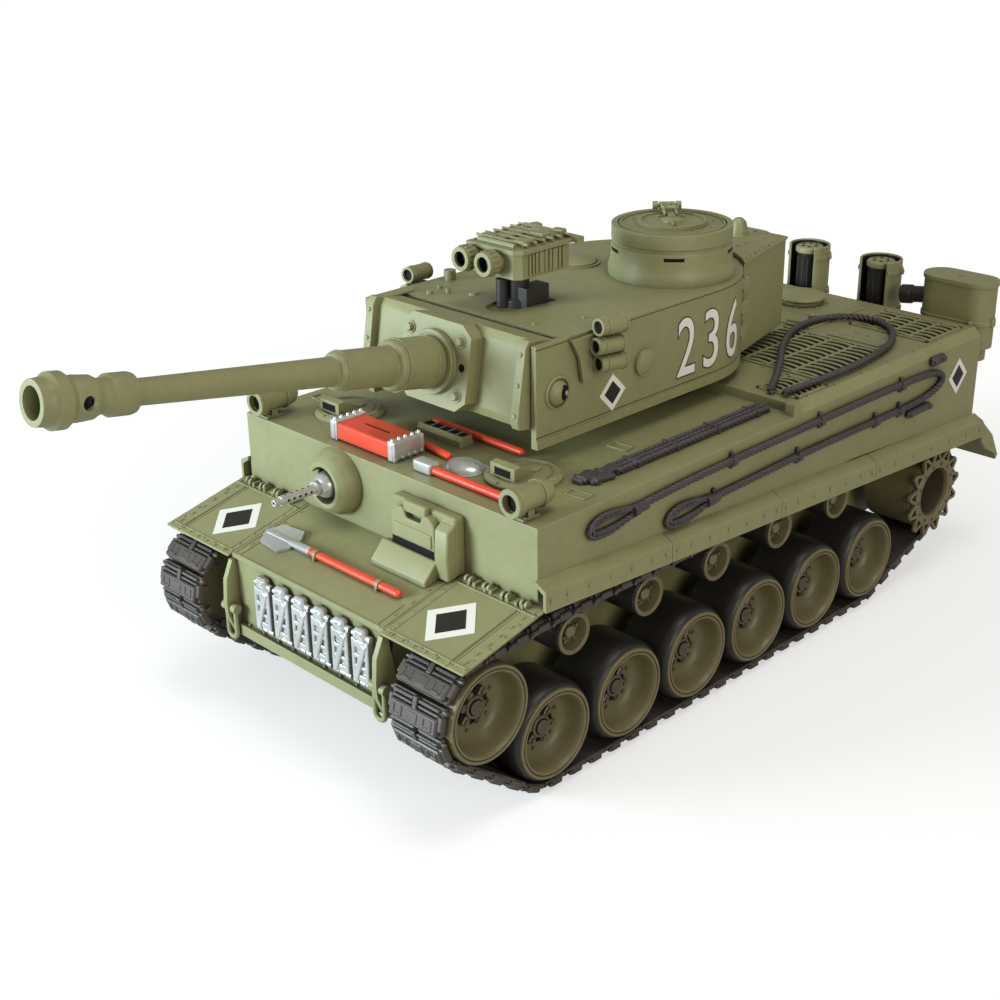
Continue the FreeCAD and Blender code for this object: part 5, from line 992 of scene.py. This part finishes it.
def turret_band(bm, out, low, high):
    outer, inner = around_turret(out), around_turret(-0.3)
    rows = [[bm.verts.new(Vector((x, y, low)) * MM) for x, y in line] for line in (outer, inner)]
    faces = [bm.faces.new((a, b, d, c)) for a, b, c, d in zip(rows[0], rows[0][1:], rows[1], rows[1][1:])]
    pushed = bmesh.ops.extrude_face_region(bm, geom=faces)["geom"]
    bmesh.ops.translate(bm, vec=Z * ((high - low) * MM),
                        verts=[v for v in pushed if isinstance(v, bmesh.types.BMVert)])


seams, turret_bits, port_slots = bmesh.new(), bmesh.new(), bmesh.new()
turret_band(seams, 0.06, TURRET_FLOOR + 4.2, TURRET_FLOOR + 4.5)
turret_band(seams, 0.05, TURRET_TOP - 1.4, TURRET_TOP - 1.1)
for side in (-1, 1):
    boss_middle = Vector((side * (TURRET_SIDE - 2.2), -66.5 + AHEAD, 131)) * MM
    look = Vector((side * math.cos(0.36), math.sin(0.36), 0))
    lathe(port_slots, [(0, 5.55), (1.4, 5.36), (2.7, 4.85), (2.7, 4.4), (0, 4.4)], boss_middle, look, Z, 28,
          closed=False)
    lathe(turret_bits, [(0, 6.1), (0.8, 5.95), (1.1, 5.3), (0, 5.2)], boss_middle, look, Z, 20, closed=False)
    lathe(turret_bits, [(5.2, -0.2), (6.3, -0.2), (6.1, 0.5), (5.4, 0.9)],
          Vector((side * TURRET_SIDE, -66.5 + AHEAD, 131)) * MM, X * side, Z, 40)
    lathe(turret_bits, [(0, 0.4), (4.6, 0.9), (4.2, 1.7), (2.6, 2.3), (0, 2.5)],
          Vector((side * TURRET_SIDE, -20 + AHEAD, 131)) * MM, X * side, Z, 40, closed=False)
for x, y, r, tall in ((-31, -57, 1.6, 1.4), (-26, -52, 1.2, 2.2), (-34, -49, 1.2, 1.0), (-18, -46, 2.4, 0.8),
                      (26, -58, 1.0, 0.7), (34, -40, 1.0, 0.7), (-36, 10, 1.0, 0.7), (-20, -20, 3.4, 0.9)):
    peg(turret_bits, (x, y + AHEAD, TURRET_TOP - 0.3), (x, y + AHEAD, TURRET_TOP + tall), r, 18, r * 0.8)
block(turret_bits, (-43, -72 + AHEAD, TURRET_TOP - 0.3), (-38, -58 + AHEAD, TURRET_TOP + 0.9), None, 0.4)
lathe(turret_bits, [(9.5, -0.3), (10.5, -0.3), (10.5, 0.7), (9.5, 0.7)],
      Vector((-21, 14 + AHEAD, TURRET_TOP)) * MM, Z, X, 48)
lathe(turret_bits, [(0, 0.1), (8.8, 0.1), (8.8, 1.1), (7.6, 1.7), (0, 2.2)],
      Vector((-21, 14 + AHEAD, TURRET_TOP)) * MM, Z, X, 48, closed=False)
finished_piece("turret_seams", outward(seams), seam_shade_paint, own_body["turret_shell"], "dark_plastic")
finished_piece("turret_studs", outward(turret_bits), olive, own_body["turret_shell"], OLIVE_SLOT)
finished_piece("pistol_port_slot_shade", outward(port_slots), black, own_body["turret_shell"], "dark_plastic")

# ---- Stowage bin ----
# A sheet bin that hugs the turret's round back, riveted along its lid and hung on a hinge at each side.
refined("turret_bin", olive)
bin_bits = bmesh.new()
BIN_LID = TURRET_TOP + 1.8
for side in (-1, 1):
    for z in (120, 130, 140):
        peg(bin_bits, (side * 34.4, 55.0 + AHEAD, z), (side * 34.4, 55.0 + AHEAD, z + 7.0), 1.0, 12)
        block(bin_bits, (side * 34.0 - 0.9, 53.4 + AHEAD, z + 1), (side * 34.0 + 0.9, 58.0 + AHEAD, z + 5.6),
              None, 0.3)
    for index in range(9):
        part = (index + 0.5) / 9
        spot = (side * (32 - 11.4 * part), 58 + 42 * part + AHEAD)
        peg(bin_bits, (*spot, BIN_LID - 0.4), (*spot, BIN_LID + 0.7), 0.65, 8, 0.4)
for index in range(7):
    peg(bin_bits, (-18 + 6 * index, 99.6 + AHEAD, BIN_LID - 0.4),
        (-18 + 6 * index, 99.6 + AHEAD, BIN_LID + 0.6), 0.6, 8, 0.4)
for x in (-12, 12):
    block(bin_bits, (x - 2, 101.0 + AHEAD, 138), (x + 2, 102.6 + AHEAD, 149), None, 0.4)
    peg(bin_bits, (x - 2.6, 102.4 + AHEAD, 141), (x + 2.6, 102.4 + AHEAD, 141), 0.8, 12)
finished_piece("bin_rivets", outward(bin_bits), olive, own_body["turret_bin"], OLIVE_SLOT)

# ---- Smoke launchers ----
# Three tubes one above another on a bracket at each side of the turret, with dark mouths and base caps.
refined("smoke_launchers", olive, soft_edge=0.15 * MM)
tube_mouths, tube_caps = bmesh.new(), bmesh.new()
for side in (-1, 1):
    for z, y in ((TURRET_TOP + 2.4, -51), (TURRET_TOP - 4.4, -52.5), (TURRET_TOP - 11.2, -51)):
        start = Vector((side * (TURRET_SIDE + 5.2), y + AHEAD, z))
        along = Vector((side * 1.5, 12, -0.6)).normalized()
        peg(tube_mouths, start + along * 1.2, start + along * 1.6, 2.28, 20)
        peg(tube_caps, start + along * 11.2, start + along * 12.5, 3.45, 24, 2.8)
        peg(tube_caps, start + along * 3.0, start + along * 3.8, 3.42, 24)
finished_piece("smoke_tube_mouths", outward(tube_mouths), black, own_body["smoke_launchers"], "dark_plastic")
finished_piece("smoke_tube_bands", outward(tube_caps), olive, own_body["smoke_launchers"], OLIVE_SLOT)

# ---- Commander's cupola ----
# A stepped drum with five vision slits, and a lid that swings on two ears. The lid has a raised disc, a ring
# of screws and a locking lever.
refined("commander_cupola", olive)
CUPOLA = Vector((16.5, 30 + AHEAD, 0))
CUPOLA_R, CUPOLA_TOP = 24.0, 170.0
# The five slits are near-black blocks of painted shade.
slits = bmesh.new()
for index in range(5):
    block(slits, (CUPOLA_R - 1.6, -4.0, TURRET_TOP + 10), (CUPOLA_R - 0.5, 4.0, TURRET_TOP + 11.4),
          standing_at(*CUPOLA, -48 + 72 * index))
finished_piece("cupola_slit_shade", outward(slits), black, own_body["commander_cupola"], "dark_plastic")
refined("cupola_hatch", olive)
hatch_bits = bmesh.new()
lid_middle = (CUPOLA + Vector((0, 0, CUPOLA_TOP))) * MM
lathe(hatch_bits, [(12.4, 0.4), (13.6, 0.4), (13.6, 1.1), (12.4, 1.1)], lid_middle, Z, X, 56)
lathe(hatch_bits, [(20.2, -0.7), (20.9, -0.7), (20.9, 0.0), (20.2, 0.0)], lid_middle, Z, X, 72)
lathe(hatch_bits, [(0, 0.4), (4.6, 0.4), (4.4, 1.2), (3.2, 1.6), (0, 1.7)], lid_middle, Z, X, 32,
      closed=False)
for index in range(10):
    angle = 2 * math.pi * (index + 0.5) / 10
    spot = (CUPOLA.x + 17 * math.cos(angle), CUPOLA.y + 17 * math.sin(angle))
    peg(hatch_bits, (*spot, CUPOLA_TOP - 0.8), (*spot, CUPOLA_TOP + 0.1), 0.75, 8, 0.5)
hinge_side = standing_at(*CUPOLA, 135)
for way in (-2.3, 2.3):
    block(hatch_bits, (6, way - 0.6, CUPOLA_TOP + 0.3), (CUPOLA_R - 1.2, way + 0.6, CUPOLA_TOP + 2.6),
          hinge_side, 0.3)
    peg(hatch_bits, (10, way, CUPOLA_TOP + 2.4), (10, way, CUPOLA_TOP + 4.2), 0.8, 10, turn=hinge_side)
peg(hatch_bits, (10, -3.4, CUPOLA_TOP + 3.4), (10, 3.4, CUPOLA_TOP + 3.4), 0.7, 10, turn=hinge_side)
peg(hatch_bits, (15, -3.2, CUPOLA_TOP + 2.4), (15, 3.2, CUPOLA_TOP + 2.4), 0.9, 10, turn=hinge_side)
block(hatch_bits, (-9, -1.0, CUPOLA_TOP + 0.4), (-1, 1.0, CUPOLA_TOP + 1.5), hinge_side, 0.3)
peg(hatch_bits, (-8.4, 0, CUPOLA_TOP + 1.2), (-8.4, 0, CUPOLA_TOP + 3.0), 0.8, 12, turn=hinge_side)
finished_piece("cupola_lid_fittings", outward(hatch_bits), olive, own_body["cupola_hatch"], OLIVE_SLOT)

# ---- Sight head ----
# A swivelling armoured sight with two lens tubes, fine ribs on its side and gear strapped on its lid.
refined("sight_head", olive, soft_edge=0.15 * MM)
SIGHT = Vector((2, -42 + AHEAD, 163))
sight_glass = finish_material("sight_glass", (0.03, 0.045, 0.035), (0.1, 0.12, 0.1), (0.01, 0.01, 0.01),
                              drift=0.2, rub=0.1, dirt=0.2, gloss=0.17, grain=0.0)
lenses, lens_mouth_shade, sight_bits = bmesh.new(), bmesh.new(), bmesh.new()
for x in (-9.6, 2.4):
    mouth = (SIGHT + Vector((x, -20.5, 5.8))) * MM
    # A near-black liner in each lens mouth is painted shade.
    lathe(lens_mouth_shade, [(2.1, -4.4), (2.88, -4.4), (2.88, -1.2), (2.6, -1.2), (2.6, -3.4), (2.1, -3.4)], mouth,
          -Y, Z, 32)
    lathe(lenses, [(0, -4.4), (2.2, -4.4), (2.0, -3.5), (1.2, -3.0), (0, -2.8)], mouth, -Y, Z, 28,
          closed=False)
    for index in range(16):
        angle = 360 * index / 16
        turn = Matrix.Translation(mouth) @ Matrix.Rotation(math.radians(angle), 4, "Y")
        block(sight_bits, (-0.35, 1.2, 4.4), (0.35, 4.6, 4.95), turn, 0.1)
for index in range(11):
    y = -7.4 + 1.75 * index
    block(sight_bits, (12.8, y, 1.0), (13.7, y + 0.8, 8.8), standing_at(*SIGHT), 0.15)
for index in range(7):
    block(sight_bits, (-13.6, -6 + 2.4 * index, 1.0), (-12.8, -4.9 + 2.4 * index, 8.8), standing_at(*SIGHT),
          0.15)
for index in range(6):
    peg(sight_bits, (-12 + 4.2 * index, -11.6 + 1.4 * (index % 2), 10.8), (-12 + 4.2 * index, 14.5, 12.2),
        0.55, 8, turn=standing_at(*SIGHT))
    peg(sight_bits, (-12.6, -8.5 + 4.4 * index, 12.6), (12.6, -7.2 + 4.4 * index, 12.2), 0.6, 8,
        turn=standing_at(*SIGHT))
for x, y, wide, deep, tall in ((-10, -10, 6, 4, 2.6), (-1, -9, 5, 3, 2.2), (5, -9, 5, 6, 2.9),
                               (-11, 2, 5, 6, 2.4),
                               (2, 4, 7, 5, 3.2), (-4, 10, 9, 4, 2.8), (7, 11, 5, 4, 3.4),
                               (-12, 12, 4, 4, 3.0)):
    block(sight_bits, (x, y, 10.6), (x + wide, y + deep, 10.4 + tall), standing_at(*SIGHT, 1.2 * x), 0.4)
finished_piece("sight_lens_mouth_shade", outward(lens_mouth_shade), black, own_body["sight_head"], "dark_plastic")
finished_piece("sight_lenses", outward(lenses), sight_glass, own_body["sight_head"], "dark_plastic")
finished_piece("sight_gear", outward(sight_bits), olive, own_body["sight_head"], OLIVE_SLOT)

# ---- Mantlet and gun ----
# The cast mantlet tilts with the gun. The barrel is a stepped tube in three pieces, with a round muzzle
# brake that has a port on each side.
for moulding in ("mantlet", "gun_barrel", "muzzle_brake"):
    refined(moulding, olive)
TRUNNION = Vector((0, -50 + AHEAD, 131))
GUN_RAISED = 9.3
at_trunnion = standing_at(*TRUNNION, -GUN_RAISED, "X")
gun_bits, gun_shade = bmesh.new(), bmesh.new()
for x in (-13.5, 13.5):
    for z in (-10, 10):
        peg(gun_bits, (x, -33.8, z), (x, -34.5, z), 2.5, 24, 2.3)
        peg(gun_bits, (x, -34.4, z), (x, -36.0, z), 1.5, 6)
for x in (-40.5, 40.5):
    for z in (-11, 0, 11):
        peg(gun_bits, (x, -31.2, z), (x, -32.1, z), 0.9, 12, 0.7)
for radius, ahead, wide in ((11.9, 35.6, 1.0), (9.75, 39.0, 0.8), (9.75, 52.4, 1.2), (7.4, 58.0, 0.8),
                            (7.25, 78.2, 1.2)):
    lathe(gun_bits, [(radius - 1.4, ahead), (radius, ahead), (radius + 0.15, ahead + wide / 2),
                     (radius, ahead + wide), (radius - 1.4, ahead + wide)], Vector((0, 0, 0)), -Y, Z, 56)
# Near-black discs in the mantlet's sight hole and deep in the muzzle are painted shade.
peg(gun_shade, (14.5, -33.4, 0.5), (14.5, -33.95, 0.5), 2.7, 24)
peg(gun_shade, (0, -176, 0), (0, -177, 0), 5.1, 32)
for bm in (gun_bits, gun_shade):
    bmesh.ops.transform(bm, matrix=at_trunnion, verts=bm.verts)
finished_piece("mantlet_bolts", outward(gun_bits), olive, own_body["mantlet"], OLIVE_SLOT)
finished_piece("gun_bore_shade", outward(gun_shade), black, own_body["mantlet"], "dark_plastic")

# ---- Painted marks ----
# Plain white-edged black diamonds on the fenders, the turret's cheeks and the rear of the hull, and three
# plain numerals on each side of the turret. Each is a thin film of paint.
white_paint = finish_material("white_paint", (0.8, 0.79, 0.74), (0.6, 0.58, 0.48), (0.35, 0.34, 0.28),
                              drift=0.08, rub=0.3, dirt=0.5, gloss=0.5, grain=0.05)
mark_black = finish_material("mark_black", (0.015, 0.012, 0.01), (0.06, 0.055, 0.045), (0.008, 0.007, 0.006),
                             drift=0.15, rub=0.3, dirt=0.3, gloss=0.5, grain=0.05)


def diamond(name, turn, half_wide, half_tall, body):
    """A black diamond in a white edge, drawn on a local XY plane with Z out of the surface."""
    for suffix, shrink, film, paint in (("edge", 1.0, 0.10, white_paint), ("field", 0.62, 0.16, mark_black)):
        bm = bmesh.new()
        wide, tall = half_wide * shrink, half_tall * shrink
        extruded(bm, [(wide, 0, 0), (0, tall, 0), (-wide, 0, 0), (0, -tall, 0)], (0, 0, film), turn)
        finished_piece(name + "_" + suffix, outward(bm), paint, body, OLIVE_SLOT)


for name, side in (("left", 1), ("right", -1)):
    diamond("fender_mark_" + name, on_glacis @ standing_at(side * 60.5, -22.2, 0.02), 11.6, 12.2, "hull")
    upright = standing_at(side * (TURRET_SIDE + 0.04), -37 + AHEAD, 123.4) @ Matrix(
        ((0, 0, side, 0), (side, 0, 0, 0), (0, 1, 0, 0), (0, 0, 0, 1)))
    diamond("turret_mark_" + name, upright, 7.2, 7.3, own_body["turret_shell"])
    upright = standing_at(side * 80.04, 152 + AHEAD, 90) @ Matrix(
        ((0, 0, side, 0), (side, 0, 0, 0), (0, 1, 0, 0), (0, 0, 0, 1)))
    diamond("hull_mark_" + name, upright, 7.6, 8.4, "hull")


def numerals(body, height, spread, film):
    """A mesh of plain digits in the XY plane, centred on the origin, in metres."""
    text = bpy.data.curves.new("numerals", "FONT")
    text.body = body
    text.size = height * MM
    text.extrude = film * MM
    text.offset = spread * MM
    text.space_character = 1.25
    text.align_x = "CENTER"
    holder = bpy.data.objects.new("numerals", text)
    bm = bmesh.new()
    bm.from_mesh(bpy.data.meshes.new_from_object(holder))
    bpy.data.objects.remove(holder)
    bmesh.ops.remove_doubles(bm, verts=bm.verts, dist=0.002 * MM)
    return bm


NUMERALS, DIGIT_SIZE, DIGIT_NARROWING = "236", 33.0, 0.74
DIGITS_MIDDLE, DIGITS_FOOT = 20.5 + AHEAD, 119.6
for name, side in (("left", 1), ("right", -1)):
    for suffix, spread, film, paint in (("edge", 0.62, 0.10, mark_black), ("fill", 0.12, 0.16, white_paint)):
        digits = numerals(NUMERALS, DIGIT_SIZE, spread, film)
        for step in range(-18, 19, 2):
            bmesh.ops.bisect_plane(digits, geom=digits.verts[:] + digits.edges[:] + digits.faces[:],
                                   plane_co=X * (step * MM), plane_no=X)
        for vert in digits.verts:
            along, up, out = vert.co / MM
            reach = TURRET_SIDE + 0.05 + out
            y = DIGITS_MIDDLE + side * along * DIGIT_NARROWING
            if y > TURRET_BEND:
                angle = (y - TURRET_BEND) / TURRET_SIDE
                spot = Vector((side * reach * math.cos(angle), TURRET_BEND + reach * math.sin(angle), 0))
            else:
                spot = Vector((side * reach, y, 0))
            vert.co = (spot + Z * (DIGITS_FOOT + up)) * MM
        finished_piece("turret_number_%s_%s" % (name, suffix), outward(digits), paint,
                       own_body["turret_shell"],
                       OLIVE_SLOT)

# ---- Bright metal and dark plastic ----
# Steel screws and shackle pins are bright, and the ring under the turret and the sight's post are moulded
# in near-black plastic.
steel_grey = finish_material("bright_metal", (0.5, 0.5, 0.5), (0.8, 0.8, 0.8), (0.06, 0.06, 0.06),
                             metallic=1.0, drift=0.2, rub=0.3, dirt=0.7, gloss=0.3, grain=0.1)
dark = finish_material("dark_plastic", (0.03, 0.025, 0.027), (0.11, 0.1, 0.1), (0.008, 0.008, 0.008),
                       drift=0.3, rub=0.6, dirt=0.5, gloss=0.42, grain=0.12)

# ---- Tow cables ----
# Stranded ropes moulded along the left side and over the engine deck, with an eye at each end and small
# clips that hold them. The strands are laid round the line that each rope follows.
cable_violet = finish_material("cable_plastic", (0.058, 0.046, 0.05), (0.2, 0.17, 0.18), (0.012, 0.01, 0.01),
                               drift=0.35, rub=0.6, dirt=0.75, gloss=0.42, grain=0.2)
STRANDS = 3
LAY = 7.5               # one turn of a strand
CABLE_SLOT = "dark_plastic"


def rope_line(route, step):
    """Evenly spaced points along the smooth line of a route, in metres."""
    curve = bpy.data.curves.new("rope_line", "CURVE")
    curve.dimensions = "3D"
    curve.resolution_u = 16
    spline = curve.splines.new("NURBS")
    spline.points.add(len(route) - 1)
    for point, (x, y, z) in zip(spline.points, route):
        point.co = (x * MM, (y + AHEAD) * MM, z * MM, 1)
    spline.use_endpoint_u = True
    spline.order_u = 3
    holder = bpy.data.objects.new("rope_line", curve)
    mesh = bpy.data.meshes.new_from_object(holder)
    points = [vert.co.copy() for vert in mesh.vertices]
    bpy.data.objects.remove(holder)
    even, left = [points[0]], step
    for here, there in zip(points, points[1:]):
        run = (there - here).length
        while run >= left and run > 0:
            here = here.lerp(there, left / run)
            even.append(here)
            run -= left
            left = step
        left -= run
    return even


def rope(name, routes, radius, body, strands=STRANDS):
    """Twisted strands of plastic along each route."""
    curve = bpy.data.curves.new(name, "CURVE")
    curve.dimensions = "3D"
    curve.bevel_depth = radius * MM * (0.56 if strands > 1 else 1)
    curve.bevel_resolution = 1
    curve.use_fill_caps = True
    step = 0.8 * MM
    for route in routes:
        line = rope_line(route, step)
        side = Vector((0.3, 0.2, 1))
        lanes = [[] for strand in range(strands)]
        for index in range(len(line) - 1):
            along = (line[index + 1] - line[index]).normalized()
            side = (side - along * side.dot(along)).normalized()
            other = along.cross(side)
            for strand, lane in enumerate(lanes):
                angle = 2 * math.pi * (index * step / (LAY * MM) + strand / strands)
                away = radius * MM * (0.5 if strands > 1 else 0)
                lane.append(line[index] + (side * math.cos(angle) + other * math.sin(angle)) * away)
        for lane in lanes:
            spline = curve.splines.new("POLY")
            spline.points.add(len(lane) - 1)
            for point, spot in zip(spline.points, lane):
                point.co = (*spot, 1)
    holder = bpy.data.objects.new(name, curve)
    mesh = bpy.data.meshes.new_from_object(holder)
    bpy.data.objects.remove(holder)
    bm = bmesh.new()
    bm.from_mesh(mesh)
    return finished_piece(name, outward(bm), cable_violet, body, CABLE_SLOT, sharp=70)


wall = mm_box("upper_hull")[1].x
ROPE_R, ROOF_ROPE_R, EYE_R = 1.5, 1.25, 0.95
rope_x = wall + ROPE_R
UPPER_Z, LOWER_Z = 98.5, 88.0
side_route = [(rope_x, -64, UPPER_Z - 1.5), (rope_x, -42, UPPER_Z - 0.4), (rope_x, -20, UPPER_Z),
              (rope_x, 25, UPPER_Z + 0.2), (rope_x, 70, UPPER_Z + 0.5), (rope_x, 104, UPPER_Z + 0.2),
              (rope_x, 128, UPPER_Z - 0.5), (rope_x, 137, UPPER_Z - 3.4), (rope_x, 135, LOWER_Z + 2),
              (rope_x, 118, LOWER_Z - 1), (rope_x, 80, LOWER_Z - 0.4), (rope_x, 40, LOWER_Z),
              (rope_x, 10, LOWER_Z - 0.4), (rope_x, -22, LOWER_Z - 1)]
rope("tow_cable_side", [side_route], ROPE_R, "hull")
deck_rope_z = DECK + PANEL + 0.05 + ROPE_R      # it lies on the grilles
deck_start = 32.5
deck_route = [(64.5, deck_start + 2.5, deck_rope_z), (52, 58, deck_rope_z), (34, 84, deck_rope_z),
              (23, 108, deck_rope_z), (24, 132, deck_rope_z), (38, 143, deck_rope_z), (54, 138, deck_rope_z),
              (66, 120, deck_rope_z), (71, 96, deck_rope_z), (72.5, 66, deck_rope_z),
              (70, deck_start + 2.5, deck_rope_z)]
rope("tow_cable_deck", [deck_route], ROPE_R, "hull")
eye_routes = []
for eye_y, eye_z in ((-76, UPPER_Z - 3), (-35, LOWER_Z - 2)):
    for inset in (0, 1.5):
        eye_routes.append([(rope_x, eye_y + 14, eye_z + 1.2), (rope_x, eye_y + 6, eye_z + 3.0 - inset * 0.6),
                           (rope_x, eye_y - 6 + inset, eye_z + 4.4 - inset * 1.2),
                           (rope_x, eye_y - 13 + inset, eye_z + 1.4 - inset * 0.3),
                           (rope_x, eye_y - 12 + inset, eye_z - 3.2 + inset),
                           (rope_x, eye_y - 2, eye_z - 3.8 + inset * 1.2),
                           (rope_x, eye_y + 8, eye_z - 1.4 + inset * 0.4), (rope_x, eye_y + 15, eye_z + 0.4)])
rope("tow_cable_eyes", eye_routes, EYE_R, "hull")
roof_ropes = [[(x, -60, ROOF + 1.4), (x + 0.3, -30, ROOF + 1.5), (x, 0, ROOF + 1.4),
               (x + 0.2, deck_start - 3, ROOF + 1.5)]
              for x in (63.6, 66.0, 68.4)]
rope("tow_cable_roof", roof_ropes, ROOF_ROPE_R, "hull")
rope_ties = bmesh.new()
for y, z in ((-10, UPPER_Z), (46, UPPER_Z + 0.3), (104, UPPER_Z), (-20, LOWER_Z - 1), (32, LOWER_Z),
             (86, LOWER_Z - 0.4), (104, LOWER_Z - 0.6)):
    y += AHEAD
    block(rope_ties, (wall, y - 1.3, z - 1.9), (rope_x + 2.0, y + 1.3, z + 1.9), chamfer=0.6)
    block(rope_ties, (wall, y - 0.9, z + 1.6), (wall + 1.6, y + 0.9, z + 3.4), chamfer=0.4)
    block(rope_ties, (wall, y - 0.9, z - 3.4), (wall + 1.6, y + 0.9, z - 1.6), chamfer=0.4)
for eye_y, eye_z in ((-76, UPPER_Z - 3), (-35, LOWER_Z - 2)):
    peg(rope_ties, (rope_x, eye_y + 9.5 + AHEAD, eye_z + 0.8), (rope_x, eye_y + 12 + AHEAD, eye_z + 0.9), 2.4,
        16)
    peg(rope_ties, (rope_x, eye_y + 12 + AHEAD, eye_z + 0.9), (rope_x, eye_y + 17 + AHEAD, eye_z + 1.1), 1.9,
        16)
for x, y0, y1, height, lean in ((63.4, -76, -66, 3.0, 8), (67.6, -73, -62, 2.6, -6),
                                (65.6, -67, -57, 3.1, 0)):
    turn = Matrix.Translation(Vector((x, (y0 + y1) / 2 + AHEAD, ROOF)) * MM) @ Matrix.Rotation(
        math.radians(lean), 4, "Z")
    reach = (y1 - y0) / 2
    block(rope_ties, (-2.2, -reach, 0.02), (2.2, reach, height - 0.6), turn, 0.5)
    block(rope_ties, (-1.4, -reach + 1.2, 0.5), (1.4, reach - 1.6, height), turn, 0.4)
    peg(rope_ties, (-2.9, -reach + 2.2, height / 2), (2.9, -reach + 2.2, height / 2), 1.2, 12, turn=turn)
    peg(rope_ties, (-2.6, reach - 2.0, height / 2), (2.6, reach - 2.0, height / 2), 0.9, 12, turn=turn)
block(rope_ties, (62.6, -58 + AHEAD, ROOF + 0.02), (69.4, deck_start - 3.4 + AHEAD, ROOF + 1.0), chamfer=0.3)
for y in (-50, -28, -4, 20):
    block(rope_ties, (61.8, y + AHEAD, ROOF + 0.02), (70.2, y + 1.2 + AHEAD, ROOF + 2.9), chamfer=0.4)
for low, high in (((wall, 126, UPPER_Z + 2.2), (rope_x + 1.4, 136, UPPER_Z + 6.6)),
                  ((wall, 110, 81.6), (rope_x + 1.4, 128, 85.2))):
    low, high = Vector(low) + Y * AHEAD, Vector(high) + Y * AHEAD
    block(rope_ties, low, high, chamfer=1.0)
    for end_y in (low.y + 1.8, high.y - 1.8):
        peg(rope_ties, (low.x, end_y, (low.z + high.z) / 2), (high.x + 0.5, end_y, (low.z + high.z) / 2), 1.3,
            12)
finished_piece("tow_cable_fittings", outward(rope_ties), cable_violet, "hull", CABLE_SLOT, ["tow_cables"],
               soft_edge=0.1 * MM)

# ---- Inner works and small fittings ----
# What the hull holds, and the pins and caps that show through it, keep the model's own shapes. Each takes
# the finish of what it is made of.
gear_white = finish_material("gear_plastic", (0.62, 0.6, 0.55), (0.75, 0.73, 0.68), (0.1, 0.1, 0.09),
                             drift=0.1, rub=0.3, dirt=0.4, gloss=0.4, grain=0.08)
board_green = finish_material("circuit_board", (0.02, 0.12, 0.045), (0.3, 0.3, 0.12), (0.01, 0.03, 0.015),
                              drift=0.3, rub=0.6, dirt=0.4, gloss=0.3, grain=0.05)
cell_blue = finish_material("cell_wrap", (0.03, 0.07, 0.22), (0.1, 0.16, 0.4), (0.01, 0.02, 0.05),
                            drift=0.15, rub=0.3, dirt=0.3, gloss=0.25, grain=0.05)
SLOT_LOOKS = {"olive_plastic": olive, "wheel_plastic": wheel_khaki, "track_rubber": rubber,
              "silver_plastic": silver,
              "red_plastic": red, "dark_plastic": dark, "steel": steel_grey, "cell_wrap": cell_blue,
              "gear_plastic": gear_white, "board": board_green}
for node, thing in frame["nodes"].items():
    for slot_row in thing.material_slots:
        slot_row.material = SLOT_LOOKS.get(slot_row.material.name if slot_row.material else "", dark)
for node in ("axles", "shackle_left", "shackle_right"):
    for slot_row in frame["nodes"][node].material_slots:
        slot_row.material = hub_brown if node == "axles" else olive
